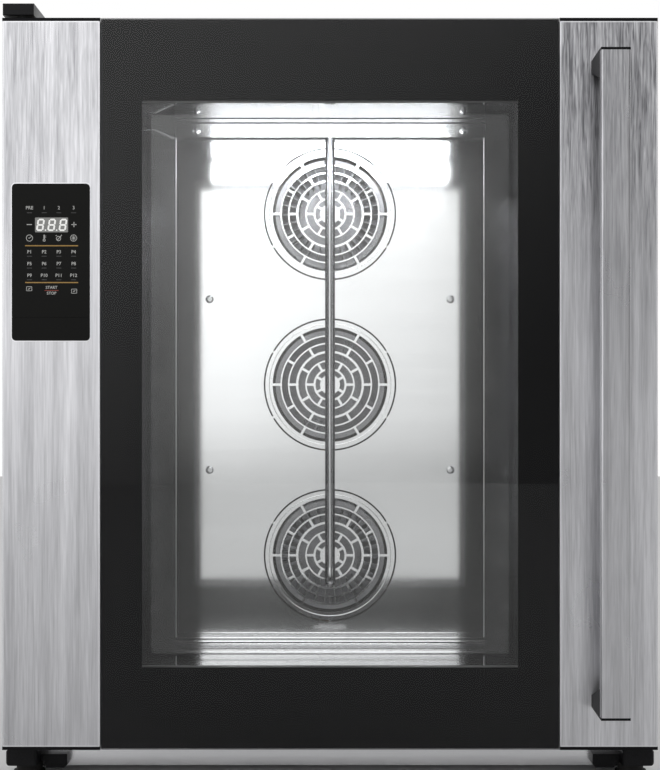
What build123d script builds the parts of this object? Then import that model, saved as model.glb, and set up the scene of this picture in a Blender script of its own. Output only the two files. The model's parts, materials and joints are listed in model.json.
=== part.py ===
from build123d import *
import os
from math import cos, radians, sin

# Convection oven for ten baking trays, in millimetres. X runs to the right seen from the
# front, Y from the front to the back, Z up. The origin is on the floor, midway between the
# sides and midway between the front of the handle and the end of the water inlet.

# Outside of the oven
WIDTH = 800.0
DEPTH = 811.0
HANDLE_REACH = 60.0
DOOR_BOTTOM = 40.0
DOOR_HEIGHT = 893.5
DOOR_TOP = DOOR_BOTTOM + DOOR_HEIGHT
DOOR_MID = DOOR_BOTTOM + DOOR_HEIGHT / 2
DOOR_FACE = HANDLE_REACH - (DEPTH + HANDLE_REACH) / 2
HALF = WIDTH / 2

# Sheet metal and the gaps between neighbours
SHEET = 1.2
FRAME_SHEET = 1.5
SEAM = 0.3
RUNNING = 0.05
PRESS = 0.02

# Casing, as distances behind the door face
BODY_FRONT = 74.0
INLET_REACH = 21.0
REAR_FACE = DEPTH - INLET_REACH
CASING_HALF = HALF - 4.0
CASING_IN = CASING_HALF - SHEET - SEAM
BASE_LIFT = 6.0
BASE_FLANGE = 28.0
HINGE_GAP = 4.0
BRACKET_HEIGHT = 14.5
CASING_TOP = DOOR_TOP + HINGE_GAP
TECHNICAL_DEPTH = 126.0
PLATE_FRONT = REAR_FACE - TECHNICAL_DEPTH
PLATE_BACK = PLATE_FRONT + FRAME_SHEET

# Insulation
SLAB = 40.0
BACK_SLAB = 44.0
ROOF_SPACE = 57.5
SIDE_SPACE = 64.0
FLOOR_SPACE = 52.0
CATCH_POCKET = 50.0
VENT_SPACE = 8.5
PIPE_GROOVE = 8.0

# Cavity
CAVITY_HALF = CASING_HALF - SIDE_SPACE
CAVITY_WIDTH = 2 * CAVITY_HALF
CAVITY_FLOOR = DOOR_BOTTOM + FLOOR_SPACE
CAVITY_ROOF = CASING_TOP - ROOF_SPACE
CAVITY_HEIGHT = CAVITY_ROOF - CAVITY_FLOOR
CAVITY_BACK = PLATE_FRONT - BACK_SLAB
MIDDLE = CAVITY_FLOOR + CAVITY_HEIGHT / 2
SHELL_BACK = CAVITY_BACK + SHEET

# Fans, their guard and the heating rings
FAN_COUNT = 3
FAN_MARGIN = 18.5
FAN_PITCH = (CAVITY_HEIGHT - FAN_MARGIN) / FAN_COUNT
RING_RADIUS = FAN_PITCH / 2 - 14.75
FAN_RADIUS = RING_RADIUS - 31.5
FAN_HUB = 18.0
HUB_LENGTH = 22.0
FAN_RIM = 9.0
NUT_RADIUS = 13.0
NUT_THICK = 10.0
FAN_BLADES = 30
BLADE_ROOT = 48.0
BLADE_SHEET = 1.4
FAN_CHAMBER = 107.0
GUARD_FACE = CAVITY_BACK - FAN_CHAMBER
GUARD_BACK = GUARD_FACE + SHEET
GUARD_HALF = CAVITY_HALF - 100.0
GUARD_LOW = CAVITY_FLOOR + 14.0
RAIL_HEIGHT = 24.5
RAIL_SPACE = 0.5
GUARD_TOP_GAP = 22.3
GUARD_HIGH = CAVITY_ROOF - GUARD_TOP_GAP
GUARD_FLANGE = 14.0
GRILLE_RINGS = ((15.0, 21.8, 30), (24.8, 34.9, 0), (37.2, 47.6, 30), (51.0, 61.0, 0),
                (63.2, 72.4, 30), (74.6, 86.2, 0), (97.2, 99.6, 30))
GRILLE_RIB = 3.8
FAN_FRONT = GUARD_FACE + 10.0
FAN_BACK = CAVITY_BACK - 18.0
SHAFT_RADIUS = 8.0
NECK_RADIUS = 20.0
MOTOR_RADIUS = 59.0
MOTOR_LENGTH = 78.0
MOTOR_CAP = 14.0
MOTOR_CAP_RADIUS = 42.0
MOTOR_FINS = 12
FIN_HEIGHT = 5.0
FIN_WIDTH = 3.0
SHAFT_SEAT = 34.0
RING_TUBE = 4.2
RING_BEAD = 0.4
RING_DEPTHS = (FAN_FRONT + 24.0, FAN_FRONT + 56.0)
RING_FIRST = 263.0
RING_SECOND = 253.0
RING_RISER = 277.0
RING_LEG_END = 10.0
RING_FLANGE = (44.0, 3.0, 22.0)
SPACER_ACROSS = GUARD_HALF - 51.0
SPACER_UP = FAN_PITCH / 2
SPACER_RADIUS = 6.0
SCREW_RADIUS = 3.0
SCREW_HEAD = 6.0
SCREW_DOME = 3.0
RAIL_SCREW_DOME = 2.0
SCREW_EDGE = 1.0
SCREW_LENGTH = 12.0
SCREW_SPACE = 0.2
RAIL_SCREW_ACROSS = GUARD_HALF - 33.0
RAIL_SCREW_DROP = 15.0

# Tray racks
TRAY_COUNT = 10
RACK_MARGIN = 113.0
TRAY_PITCH = (CAVITY_HEIGHT - RACK_MARGIN) / (TRAY_COUNT - 1)
FIRST_TRAY = CAVITY_FLOOR + 22.0
WIRE_RADIUS = 2.5
LEDGE_INSET = 39.0
POST_WIDTH = 12.0
POST_THICK = 6.0
POST_GAP = 2.0
POST_RISE = 8.0
POST_TOP = 14.0
STUB_RADIUS = 4.0
STUB_INSET = 20.0
RACK_FRONT = BODY_FRONT + 22.0
RACK_BACK = GUARD_FACE - 32.0

# Steam tube, probe, drain, vent and water inlet
TUBE_RADIUS = 7.5
TUBE_WALL = 1.0
TUBE_DEPTH = GUARD_FACE - TUBE_RADIUS - 1.5
RAIL_FACE = TUBE_DEPTH - TUBE_RADIUS - RAIL_SPACE - SHEET
TUBE_END = CAVITY_FLOOR + 95.0
JET_RADIUS = 2.5
PROBE_RADIUS = 2.5
PROBE_BEND = 70.0 - CAVITY_HALF
PROBE_TIP = 98.0 - CAVITY_HALF
PROBE_GAP = 11.0
PROBE_DROP = 13.0
DRAIN_DEPTH = 300.0
DRAIN_RADIUS = 14.0
DRAIN_WALL = 1.5
DRAIN_Z = 30.0
DRAIN_END = DEPTH - 5.0
SPIGOT_RADIUS = 16.0
SPIGOT_GAP = 1.0
CUP_RADIUS = 20.0
COVER_LAP = 8.0
COVER_HOLES = 8
COVER_HOLE = 2.5
COVER_CIRCLE = 11.0
VENT_ACROSS = CAVITY_HALF - 112.0
VENT_DEPTH = CAVITY_BACK - 50.0
VENT_RADIUS = 19.0
VENT_MOUTH = 20.5
VENT_TOP = CASING_TOP + 10.5
VENT_FLANGE = 8.0
VALVE_ACROSS = CASING_HALF - 66.0
VALVE_Z = 150.0
INLET_RADIUS = 13.2
INLET_NECK = 12.0
INLET_BORE = 9.0
INLET_BORE_DEPTH = 18.0
VALVE_HALF = 20.0
VALVE_TALL = 18.0
VALVE_BODY = 62.0
ARM_HALF = 12.0
ARM_TALL = 10.0
COIL_HALF = 18.0
COIL_HEIGHT = 28.0
COIL_DEPTH = 34.0
COIL_BACK = 24.0
STEM_RADIUS = 9.0
STEM_HEIGHT = 30.0
PIPE_RADIUS = 4.0
PIPE_Z = CASING_TOP - 32.5
PIPE_DEPTH = PLATE_BACK + 39.5
GLAND_ACROSS = 96.0 - CASING_HALF
GLAND_Z = 90.0
GLAND_BORE = 6.5
GLAND_THREAD = 10.0
GLAND_BODY = 15.0
GLAND_BODY_LENGTH = 6.0
GLAND_CAP = 12.0
GLAND_REACH = 16.0
GLAND_INSIDE = 14.0
GLAND_NUT = 5.0

# Electrical pieces on the motor plate
BOARD_LEFT = 64.0 - CASING_HALF
BOARD_RIGHT = BOARD_LEFT + 180.0
BOARD_LOW = MIDDLE + 74.0
BOARD_HIGH = BOARD_LOW + 260.0
BOARD_THICK = 1.6
BOARD_LIFT = 12.0
STANDOFF_RADIUS = 4.0
STANDOFF_INSET = 10.0
RELAY_COUNT = 5
RELAY_PITCH = 30.0
RELAY_SIZE = (22.0, 24.0, 32.0)
TRANSFORMER_SIZE = (62.0, 48.0, 56.0)
SINK_SIZE = (40.0, 30.0, 60.0)
SOCKET_SIZE = (136.0, 16.0, 22.0)
PIECE_INSET = 22.0
TERMINAL_LEFT = 56.0 - CASING_HALF
TERMINAL_RIGHT = TERMINAL_LEFT + 100.0
TERMINAL_LOW = 120.0
TERMINAL_SIZE = (26.0, 32.0)
TERMINAL_POLES = 5
TERMINAL_CUT = 10.0

# Cooling fan of the technical space
COOLER_ACROSS = CASING_HALF - 166.0
COOLER_Z = MIDDLE + 34.0
COOLER_SIZE = 120.0
COOLER_DEPTH = 38.0
COOLER_RADIUS = 54.0
COOLER_BLADES = 7
COOLER_PIN = 3.0
COOLER_HUB = 20.0
COOLER_TIP = 3.0
COOLER_CORNER = 8.0
STRUT_WIDTH = 6.0
STRUT_DEPTH = 4.0
BLADE_PITCH = 35.0
BLADE_CHORD = 26.0
BLADE_THICK = 2.4
SLOT_LENGTH = 96.0
SLOT_HEIGHT = 5.0
SLOT_PITCH = 12.0
SLOT_ROWS = 9
SLOT_TOP = CASING_TOP - 117.5

# Door
COLUMN_WIDTH = 119.5
COLUMN_IN = HALF - COLUMN_WIDTH
CAP_HEIGHT = 4.0
COLUMN_DEPTH = 58.0
COLUMN_RETURN = 7.0
COLUMN_ROUND = 1.0
GLASS_INSET = 2.0
GLASS_THICK = 5.0
GLASS_BACK = GLASS_INSET + GLASS_THICK
DOOR_THICK = 62.0
WINDOW_HALF = COLUMN_IN - 50.5
WINDOW_LOW = DOOR_BOTTOM + 100.0
WINDOW_HIGH = DOOR_TOP - 100.5
WINDOW_EDGE = 6.0
INNER_HALF = CAVITY_HALF - 17.0
INNER_EDGE = 12.0
LAMP_HALF = 206.0
LAMP_LOW = WINDOW_HIGH + 11.0
LAMP_HIGH = LAMP_LOW + 28.0
LAMP_LEDGE = 3.0
HINGE_ACROSS = 22.0 - HALF
HINGE_DEPTH = 32.0
PIN_RADIUS = 6.0
PIN_LENGTH = 25.0
BUSH_RADIUS = 9.0
BUSH_FLANGE = 13.0
BUSH_LIP = 2.0
GASKET_INSET = 6.0
GASKET_WIDTH = 14.0
GASKET_CORNER = 12.0
GASKET_ROUND = 5.0

CLIP_INSET = 80.0
CLIP_HALF = 15.0
CLIP_WIDTH = 11.0
CLIP_LAP = 7.0
CLIP_THICK = 2.0
LAMP_FRONT = 38.0
LAMP_ROUND = 3.0

# Control panel and handle
PANEL_LEFT = 12.0 - HALF
PANEL_RIGHT = PANEL_LEFT + 95.0
PANEL_LOW = DOOR_MID + 52.75
PANEL_SPLIT = PANEL_LOW + 28.5
PANEL_HIGH = PANEL_LOW + 191.5
PANEL_THICK = 1.6
PANEL_CORNER = 5.0
PANEL_INSET = 6.0
TOUCH_LIFT = 10.0
CHIP_SIZE = (46.0, 6.0, 22.0)
PILLAR_RADIUS = 3.0
GRIP_LEFT = HALF - 78.0
GRIP_WIDTH = 35.0
GRIP_THICK = 14.0
GRIP_HALF = 400.0
GRIP_CAP = 3.0
GRIP_ROUND = 2.5
POST_ROOT_LOW = GRIP_HALF - 20.0
POST_ROOT_HIGH = GRIP_HALF - 6.0
POST_GRIP_LOW = GRIP_HALF - 35.0
POST_FLARE = 3.0

# Hinge brackets and feet
BRACKET_WIDTH = 38.0
BRACKET_FRONT = 4.0
BRACKET_REACH = 170.0
BRACKET_ROUND = 1.0
LOWER_FRONT = 22.0
LOWER_WIDTH = 39.0
LOWER_LOW = 16.0
LOWER_HIGH = 36.0
LOWER_ROUND = 5.0
PIN_FLOOR = 3.0
LUG_FRONT = 52.0
LUG_WIDTH = 33.0
LUG_OVERLAP = 4.0
LUG_LOW = 7.5
LUG_HIGH = 24.5
LUG_CHAMFER = 4.0
PAD_RADIUS = 19.3
PAD_NECK = 16.0
PAD_ROUND = 1.2
PAD_ACROSS = HALF - 25.0
PAD_FRONT = 52.0
PAD_BACK = REAR_FACE - 50.0
STUD_RADIUS = 4.0
STUD_LENGTH = 14.0

# Door catch
CATCH_Z = MIDDLE
TONGUE_ACROSS = HALF - 16.0
TONGUE_THICK = 4.0
TONGUE_BULGE = 2.0
TONGUE_HALF = 13.0
TONGUE_END = 106.0
TONGUE_TIP = 8.0
TONGUE_SWING = 4.0
ROLLER_RADIUS = 7.0
ROLLER_HALF = 8.0
ROLLER_PIN = 2.0
ROLLER_DEPTH = 87.0
PLUNGER_HALF = 12.0
PLUNGER_DEPTH = 12.0
PLUNGER_TAIL = CAVITY_HALF + 11.0
PLUNGER_STROKE = 6.0
HOUSING_WALL = 3.0
STRIKE_WIDTH = 20.0
STRIKE_THICK = 3.0

parts = {}


def block(x, y, z):
    """Box between a low and a high value on each axis."""
    size = [high - low for low, high in (x, y, z)]
    centre = [(high + low) / 2 for low, high in (x, y, z)]
    return Pos(*centre) * Box(*size)


def deep(front, back):
    """Y span of a piece given by its distances behind the door face."""
    return (DOOR_FACE + front, DOOR_FACE + back)


def rod(axis, span, across, radius):
    """Round bar along an axis, with the other two coordinates in X, Y, Z order."""
    low, high = span
    middle = (low + high) / 2
    turn = {"X": Rot(0, 90, 0), "Y": Rot(90, 0, 0), "Z": Rot(0, 0, 0)}[axis]
    place = {"X": (middle, *across), "Y": (across[0], middle, across[1]),
             "Z": (*across, middle)}[axis]
    return Pos(*place) * turn * Cylinder(radius, high - low)


def pipe(points, radius):
    """Round bar along straight runs, with a ball at each corner."""
    shape = None
    for start, end in zip(points, points[1:]):
        run = Vector(*end) - Vector(*start)
        piece = Solid.make_cylinder(radius, run.length, Plane(origin=start, z_dir=run))
        shape = piece if shape is None else shape + piece
    for corner in points[1:-1]:
        shape = shape + Pos(*corner) * Sphere(radius)
    return shape


def upright(sketch, front, thick, height, across=0.0):
    """Plate standing across the oven, drawn as seen from the front."""
    turn = Pos(across, DOOR_FACE + front + thick, height) * Rot(90, 0, 0)
    return turn * extrude(sketch, thick)


def mirrored(shape):
    """The same piece on the other side of the oven."""
    return mirror(shape, about=Plane.YZ)


def add(name, *solids):
    """Keeps a node, as one solid or as a group of separate ones."""
    parts[name] = [solid for shape in solids for solid in shape.solids()]


def fan_heights():
    """Heights of the fan centres, from the top one down."""
    top = MIDDLE + FAN_PITCH * (FAN_COUNT - 1) / 2
    return [top - FAN_PITCH * step for step in range(FAN_COUNT)]


def ring_point(angle, depth, height, radius=RING_RADIUS):
    """Point on a circle round a fan's axis."""
    return (radius * cos(radians(angle)), DOOR_FACE + depth,
            height + radius * sin(radians(angle)))


# Casing

def base_pan():
    """Bottom tray of the casing, with an upturned edge at the front and the back."""
    wide = (-CASING_IN, CASING_IN)
    low = (BASE_LIFT, BASE_LIFT + SHEET)
    edge = (BASE_LIFT, BASE_LIFT + BASE_FLANGE)
    pan = block(wide, deep(BODY_FRONT, REAR_FACE - SHEET), low)
    pan += block(wide, deep(BODY_FRONT, BODY_FRONT + SHEET), edge)
    pan += block(wide, deep(REAR_FACE - 2 * SHEET, REAR_FACE - SHEET), edge)
    for side in (-1, 1):
        pan -= rod("Z", low, (side * PAD_ACROSS, DOOR_FACE + PAD_BACK), STUD_RADIUS + SEAM)
    return pan - rod("Y", deep(REAR_FACE - 3 * SHEET, REAR_FACE), (0, DRAIN_Z),
                     DRAIN_RADIUS + SEAM)


def side_panel():
    """Right side of the casing."""
    return block((CASING_HALF - SHEET, CASING_HALF), deep(BODY_FRONT, REAR_FACE),
                 (BASE_LIFT, CASING_TOP))


def top_cover():
    """Top of the casing, with the hole for the vent."""
    cover = block((-CASING_IN, CASING_IN), deep(BODY_FRONT + FRAME_SHEET, REAR_FACE - SHEET),
                  (CASING_TOP - SHEET, CASING_TOP))
    hole = rod("Z", (CASING_TOP - 2 * SHEET, CASING_TOP + SHEET),
               (VENT_ACROSS, DOOR_FACE + VENT_DEPTH), VENT_RADIUS + SEAM)
    return cover - hole


def rear_panel():
    """Back of the casing, with air slots and the holes for the connections."""
    height = CASING_TOP - BASE_LIFT
    centre = (CASING_TOP + BASE_LIFT) / 2
    sketch = Rectangle(2 * CASING_IN, height)
    for x in (COOLER_ACROSS, -COOLER_ACROSS):
        for z in (COOLER_Z, SLOT_TOP):
            for row in range(SLOT_ROWS):
                rise = (row - (SLOT_ROWS - 1) / 2) * SLOT_PITCH
                sketch -= Pos(x, z + rise - centre) * Rectangle(SLOT_LENGTH, SLOT_HEIGHT)
    sketch -= Pos(VALVE_ACROSS, VALVE_Z - centre) * Circle(INLET_RADIUS + SEAM)
    sketch -= Pos(0, DRAIN_Z - centre) * Circle(DRAIN_RADIUS + SEAM)
    sketch -= Pos(GLAND_ACROSS, GLAND_Z - centre) * Circle(GLAND_THREAD + SEAM)
    return upright(sketch, REAR_FACE - SHEET, SHEET, centre)


def front_frame():
    """Four strips round the cavity mouth that carry the gasket and the catch."""
    face = deep(BODY_FRONT, BODY_FRONT + FRAME_SHEET)
    low = BASE_LIFT + BASE_FLANGE
    left = block((-CASING_IN, -CAVITY_HALF), face, (low, CASING_TOP))
    right = block((CAVITY_HALF, CASING_IN), face, (low, CASING_TOP))
    slot_left = TONGUE_ACROSS - TONGUE_THICK / 2 - TONGUE_BULGE - TONGUE_SWING / 2
    slot_right = TONGUE_ACROSS + TONGUE_THICK / 2 + TONGUE_SWING
    right -= block((slot_left, slot_right), deep(BODY_FRONT - 1, BODY_FRONT + 2 * FRAME_SHEET),
                   (CATCH_Z - TONGUE_HALF - TONGUE_SWING, CATCH_Z + TONGUE_HALF + TONGUE_SWING))
    sill = block((-CAVITY_HALF, CAVITY_HALF), face, (low, CAVITY_FLOOR))
    header = block((-CAVITY_HALF, CAVITY_HALF), face, (CAVITY_ROOF, CASING_TOP))
    return left, right, sill, header


def motor_plate():
    """Wall between the insulation and the technical space, which carries the motors."""
    low = BASE_LIFT + SHEET
    high = CASING_TOP - SHEET
    centre = (low + high) / 2
    sketch = Rectangle(2 * CASING_IN, high - low)
    for height in fan_heights():
        sketch -= Pos(0, height - centre) * Circle(NECK_RADIUS + SEAM)
        for angle in (RING_FIRST, RING_SECOND):
            x, _, z = ring_point(angle, 0, height)
            sketch -= Pos(x, z - centre) * Circle(RING_TUBE + 5 * SEAM)
    sketch -= Pos(0, DRAIN_Z - centre) * Circle(DRAIN_RADIUS + SEAM)
    sketch -= Pos(0, PIPE_Z - centre) * Circle(PIPE_RADIUS + SEAM)
    return upright(sketch, PLATE_FRONT, FRAME_SHEET, centre)


def insulation():
    """Mineral wool slabs round the cavity."""
    gap = SEAM
    wide = CAVITY_HALF + SHEET + gap
    top = CASING_TOP - SHEET - gap
    floor = CAVITY_FLOOR - SHEET - gap
    low = floor - SLAB
    length = deep(BODY_FRONT + FRAME_SHEET + gap, PLATE_FRONT - gap)
    front = deep(BODY_FRONT + FRAME_SHEET + gap, SHELL_BACK)
    left = block((-CASING_IN + gap, -wide), length, (low, top))
    right = mirrored(left)
    right -= block((wide - 1, CASING_IN), deep(BODY_FRONT, TONGUE_END + 20.0),
                   (CATCH_Z - CATCH_POCKET, CATCH_Z + CATCH_POCKET))
    roof = block((-wide + gap, wide - gap), front, (CAVITY_ROOF + SHEET + 2 * gap, top))
    roof -= rod("Z", (CAVITY_ROOF, CASING_TOP), (VENT_ACROSS, DOOR_FACE + VENT_DEPTH),
                VENT_RADIUS + VENT_SPACE)
    roof -= block((-PIPE_GROOVE, PIPE_GROOVE), deep(TUBE_DEPTH - 1.5 * PIPE_GROOVE, SHELL_BACK + 1),
                  (CAVITY_ROOF, PIPE_Z + PIPE_GROOVE))
    bottom = block((-wide + gap, wide - gap), front, (low, floor))
    bottom -= rod("Z", (0, CAVITY_FLOOR), (0, DOOR_FACE + DRAIN_DEPTH), CUP_RADIUS + gap)
    centre = (low + top) / 2
    sketch = Rectangle(2 * (wide - gap), top - low)
    for height in fan_heights():
        sketch -= Pos(0, height - centre) * Circle(NECK_RADIUS + gap)
        for angle in (RING_FIRST, RING_SECOND):
            x, _, z = ring_point(angle, 0, height)
            sketch -= Pos(x, z - centre) * Circle(RING_TUBE + gap)
    sketch -= Pos(0, PIPE_Z - centre) * Circle(PIPE_RADIUS + gap)
    back = upright(sketch, SHELL_BACK + gap, PLATE_FRONT - SHELL_BACK - 2 * gap, centre)
    return left, right, roof, bottom, back


# Cavity

def cavity_side():
    """Right wall of the cavity."""
    return block((CAVITY_HALF, CAVITY_HALF + SHEET),
                 deep(BODY_FRONT + FRAME_SHEET, CAVITY_BACK),
                 (CAVITY_FLOOR - SHEET, CAVITY_ROOF + SHEET))


def cavity_roof():
    """Ceiling of the cavity, with the holes for the vent and the water."""
    roof = block((-CAVITY_HALF, CAVITY_HALF), deep(BODY_FRONT + FRAME_SHEET, CAVITY_BACK),
                 (CAVITY_ROOF, CAVITY_ROOF + SHEET))
    span = (CAVITY_ROOF - 1, CAVITY_ROOF + 2 * SHEET)
    roof -= rod("Z", span, (VENT_ACROSS, DOOR_FACE + VENT_DEPTH), VENT_RADIUS + SEAM)
    return roof - rod("Z", span, (0, DOOR_FACE + TUBE_DEPTH), PIPE_RADIUS + SEAM)


def cavity_floor():
    """Floor of the cavity, with the drain hole."""
    floor = block((-CAVITY_HALF, CAVITY_HALF), deep(BODY_FRONT + FRAME_SHEET, CAVITY_BACK),
                  (CAVITY_FLOOR - SHEET, CAVITY_FLOOR))
    return floor - rod("Z", (CAVITY_FLOOR - 2 * SHEET, CAVITY_FLOOR + 1),
                       (0, DOOR_FACE + DRAIN_DEPTH), CUP_RADIUS - DRAIN_WALL)


def cavity_back():
    """Rear wall of the cavity, with the holes for the shafts and the heating rings."""
    sketch = Rectangle(CAVITY_WIDTH + 2 * SHEET, CAVITY_HEIGHT + 2 * SHEET)
    for height in fan_heights():
        sketch -= Pos(0, height - MIDDLE) * Circle(SHAFT_RADIUS + 3.0)
        for angle in (RING_FIRST, RING_SECOND):
            x, _, z = ring_point(angle, 0, height)
            sketch -= Pos(x, z - MIDDLE) * Circle(RING_TUBE + SEAM)
    return upright(sketch, CAVITY_BACK, SHEET, MIDDLE)


def door_gasket():
    """Silicone seal round the cavity mouth, on the front frame."""
    wide = CAVITY_HALF + GASKET_INSET
    tall = CAVITY_HEIGHT / 2 + GASKET_INSET
    outer = RectangleRounded(2 * (wide + GASKET_WIDTH), 2 * (tall + GASKET_WIDTH),
                             GASKET_CORNER + GASKET_WIDTH)
    ring = outer - RectangleRounded(2 * wide, 2 * tall, GASKET_CORNER)
    seal = upright(ring, DOOR_THICK + SEAM, BODY_FRONT - DOOR_THICK - SEAM, MIDDLE)
    front = seal.faces().sort_by(Axis.Y)[0]
    return fillet(front.edges(), GASKET_ROUND)


def tray_rack():
    """Right rack: three flat posts and a bent wire for each tray."""
    out = CAVITY_HALF - POST_GAP
    face = out - POST_THICK
    posts = []
    low = CAVITY_FLOOR + POST_RISE
    high = FIRST_TRAY + (TRAY_COUNT - 1) * TRAY_PITCH + POST_TOP
    centres = (RACK_FRONT, (RACK_FRONT + RACK_BACK) / 2, RACK_BACK)
    for centre in centres:
        post = block((face, out), deep(centre - POST_WIDTH / 2, centre + POST_WIDTH / 2),
                     (low, high))
        for height in (low + STUB_INSET, high - STUB_INSET):
            post += rod("X", (out - 1, CAVITY_HALF), (DOOR_FACE + centre, height),
                        STUB_RADIUS)
        posts.append(post)
    ledge = CAVITY_HALF - LEDGE_INSET
    wires = []
    for tray in range(TRAY_COUNT):
        height = FIRST_TRAY + tray * TRAY_PITCH
        start = (face, DOOR_FACE + RACK_FRONT, height)
        turn = (ledge, DOOR_FACE + RACK_FRONT, height)
        far = (ledge, DOOR_FACE + RACK_BACK, height)
        end = (face, DOOR_FACE + RACK_BACK, height)
        wires.append(pipe((start, turn, far, end), WIRE_RADIUS))
    return posts + wires


# Fans, guard and heat

def grille_holes():
    """Slots of one round grille, in rings cut by six ribs."""
    holes = None
    for inner, outer, first in GRILLE_RINGS:
        ring = Circle(outer) - Circle(inner)
        for step in range(3):
            ring -= Rot(0, 0, first + 60 * step) * Rectangle(3 * outer, GRILLE_RIB)
        holes = ring if holes is None else holes + ring
    return holes


def fan_guard():
    """Plate in front of the fans, with its round grilles and its side flanges."""
    centre = (GUARD_LOW + GUARD_HIGH) / 2
    sketch = Rectangle(2 * GUARD_HALF, GUARD_HIGH - GUARD_LOW)
    holes = grille_holes()
    for height in fan_heights():
        sketch -= Pos(0, height - centre) * holes
        sketch -= Pos(0, height - centre) * Circle(JET_RADIUS + SEAM)
    for x, z in spacer_places():
        sketch -= Pos(x, z - centre) * Circle(SCREW_RADIUS + SCREW_SPACE)
    guard = upright(sketch, GUARD_FACE, SHEET, centre)
    flange = block((GUARD_HALF - SHEET, GUARD_HALF), deep(GUARD_FACE, GUARD_BACK + GUARD_FLANGE),
                   (GUARD_LOW, GUARD_HIGH))
    return guard + flange + mirrored(flange)


def rail_screw_places():
    """Where the rail's two screws sit."""
    return [(side * RAIL_SCREW_ACROSS, CAVITY_ROOF - RAIL_SCREW_DROP) for side in (-1, 1)]


def guard_rail():
    """Angle under the cavity roof, in front of the steam tube, that closes the space above."""
    wide = (-GUARD_HALF, GUARD_HALF)
    rail = block(wide, deep(RAIL_FACE, RAIL_FACE + SHEET),
                 (CAVITY_ROOF - RAIL_HEIGHT, CAVITY_ROOF))
    rail += block(wide, deep(RAIL_FACE, GUARD_BACK + GUARD_FLANGE),
                  (CAVITY_ROOF - SHEET, CAVITY_ROOF))
    rail -= rod("Z", (CAVITY_ROOF - SHEET - 1, CAVITY_ROOF + 1),
                (0, DOOR_FACE + TUBE_DEPTH), TUBE_RADIUS + SEAM)
    for place in rail_screw_places():
        rail -= rod("Y", deep(RAIL_FACE - 1, RAIL_FACE + SHEET + 1), place,
                    SCREW_RADIUS + SCREW_SPACE)
    return rail


def spacer_places():
    """Where the guard is screwed to its spacers."""
    return [(across * SPACER_ACROSS, MIDDLE + up * SPACER_UP)
            for across in (-1, 1) for up in (-1, 1)]


def guard_spacers():
    """Round spacers between the rear wall and the guard."""
    spacers = []
    for place in spacer_places():
        spacer = rod("Y", deep(GUARD_BACK, CAVITY_BACK), place, SPACER_RADIUS)
        spacer -= rod("Y", deep(GUARD_BACK - 1, GUARD_BACK + SCREW_LENGTH + 4), place,
                      SCREW_RADIUS + PRESS)
        spacers.append(spacer)
    return spacers


def guard_screws():
    """Domed screws of the guard and of the rail above it."""
    places = [(place, GUARD_FACE, SCREW_DOME) for place in spacer_places()]
    places += [(place, RAIL_FACE, RAIL_SCREW_DOME) for place in rail_screw_places()]
    screws = []
    for place, face, dome in places:
        head = rod("Y", deep(face - dome, face), place, SCREW_HEAD)
        head = fillet(head.faces().sort_by(Axis.Y)[0].edges(), dome - SCREW_EDGE)
        screws.append(head + rod("Y", deep(face - 1, face + SHEET + SCREW_LENGTH), place,
                                 SCREW_RADIUS))
    return screws


def fan_wheel(height):
    """Stainless wheel: hub, back disc, straight blades and a front ring."""
    disc = rod("Y", deep(FAN_BACK - FRAME_SHEET, FAN_BACK), (0, height), FAN_RADIUS)
    hub = rod("Y", deep(FAN_BACK - HUB_LENGTH, FAN_BACK), (0, height), FAN_HUB)
    ring = rod("Y", deep(FAN_FRONT, FAN_FRONT + FRAME_SHEET), (0, height), FAN_RADIUS)
    ring -= rod("Y", deep(FAN_FRONT - 1, FAN_FRONT + 3), (0, height),
                FAN_RADIUS - FAN_RIM)
    blade = Pos((BLADE_ROOT + FAN_RADIUS - 1) / 2, 0)
    blade *= Rectangle(FAN_RADIUS - 1 - BLADE_ROOT, BLADE_SHEET)
    sketch = Sketch() + [Rot(0, 0, 360 * step / FAN_BLADES) * blade
                         for step in range(FAN_BLADES)]
    blades = upright(sketch, FAN_FRONT + 0.5, FAN_BACK - FAN_FRONT - 1.0, height)
    wheel = disc + hub + ring + blades
    return wheel - rod("Y", deep(FAN_BACK - HUB_LENGTH - 1, FAN_BACK + 1), (0, height),
                       SHAFT_RADIUS + PRESS)


def motor_shaft(height):
    """Shaft of a fan, with the nut that holds the wheel."""
    nut_front = FAN_BACK - HUB_LENGTH - NUT_THICK
    shaft = rod("Y", deep(nut_front - 4, PLATE_BACK + SHAFT_SEAT), (0, height), SHAFT_RADIUS)
    nut = upright(RegularPolygon(NUT_RADIUS, 6) - Circle(SHAFT_RADIUS + PRESS), nut_front,
                  NUT_THICK, height)
    return shaft, nut


def fan_motor(height):
    """Motor behind the motor plate, with the neck that reaches the cavity."""
    end = PLATE_BACK + MOTOR_LENGTH
    motor = rod("Y", deep(PLATE_BACK, end), (0, height), MOTOR_RADIUS)
    motor += rod("Y", deep(PLATE_BACK, end + MOTOR_CAP), (0, height), MOTOR_CAP_RADIUS)
    for step in range(MOTOR_FINS):
        fin = block((MOTOR_RADIUS - 2, MOTOR_RADIUS + FIN_HEIGHT),
                    deep(PLATE_BACK + 12, end - 8), (-FIN_WIDTH / 2, FIN_WIDTH / 2))
        turn = Rot(0, 360 / MOTOR_FINS * (step + 0.5), 0)
        motor += Pos(0, 0, height) * turn * fin
    motor += rod("Y", deep(SHELL_BACK, PLATE_BACK + 1), (0, height), NECK_RADIUS)
    return motor - rod("Y", deep(SHELL_BACK - 1, PLATE_BACK + SHAFT_SEAT + 2), (0, height),
                       SHAFT_RADIUS + RUNNING)


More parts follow.
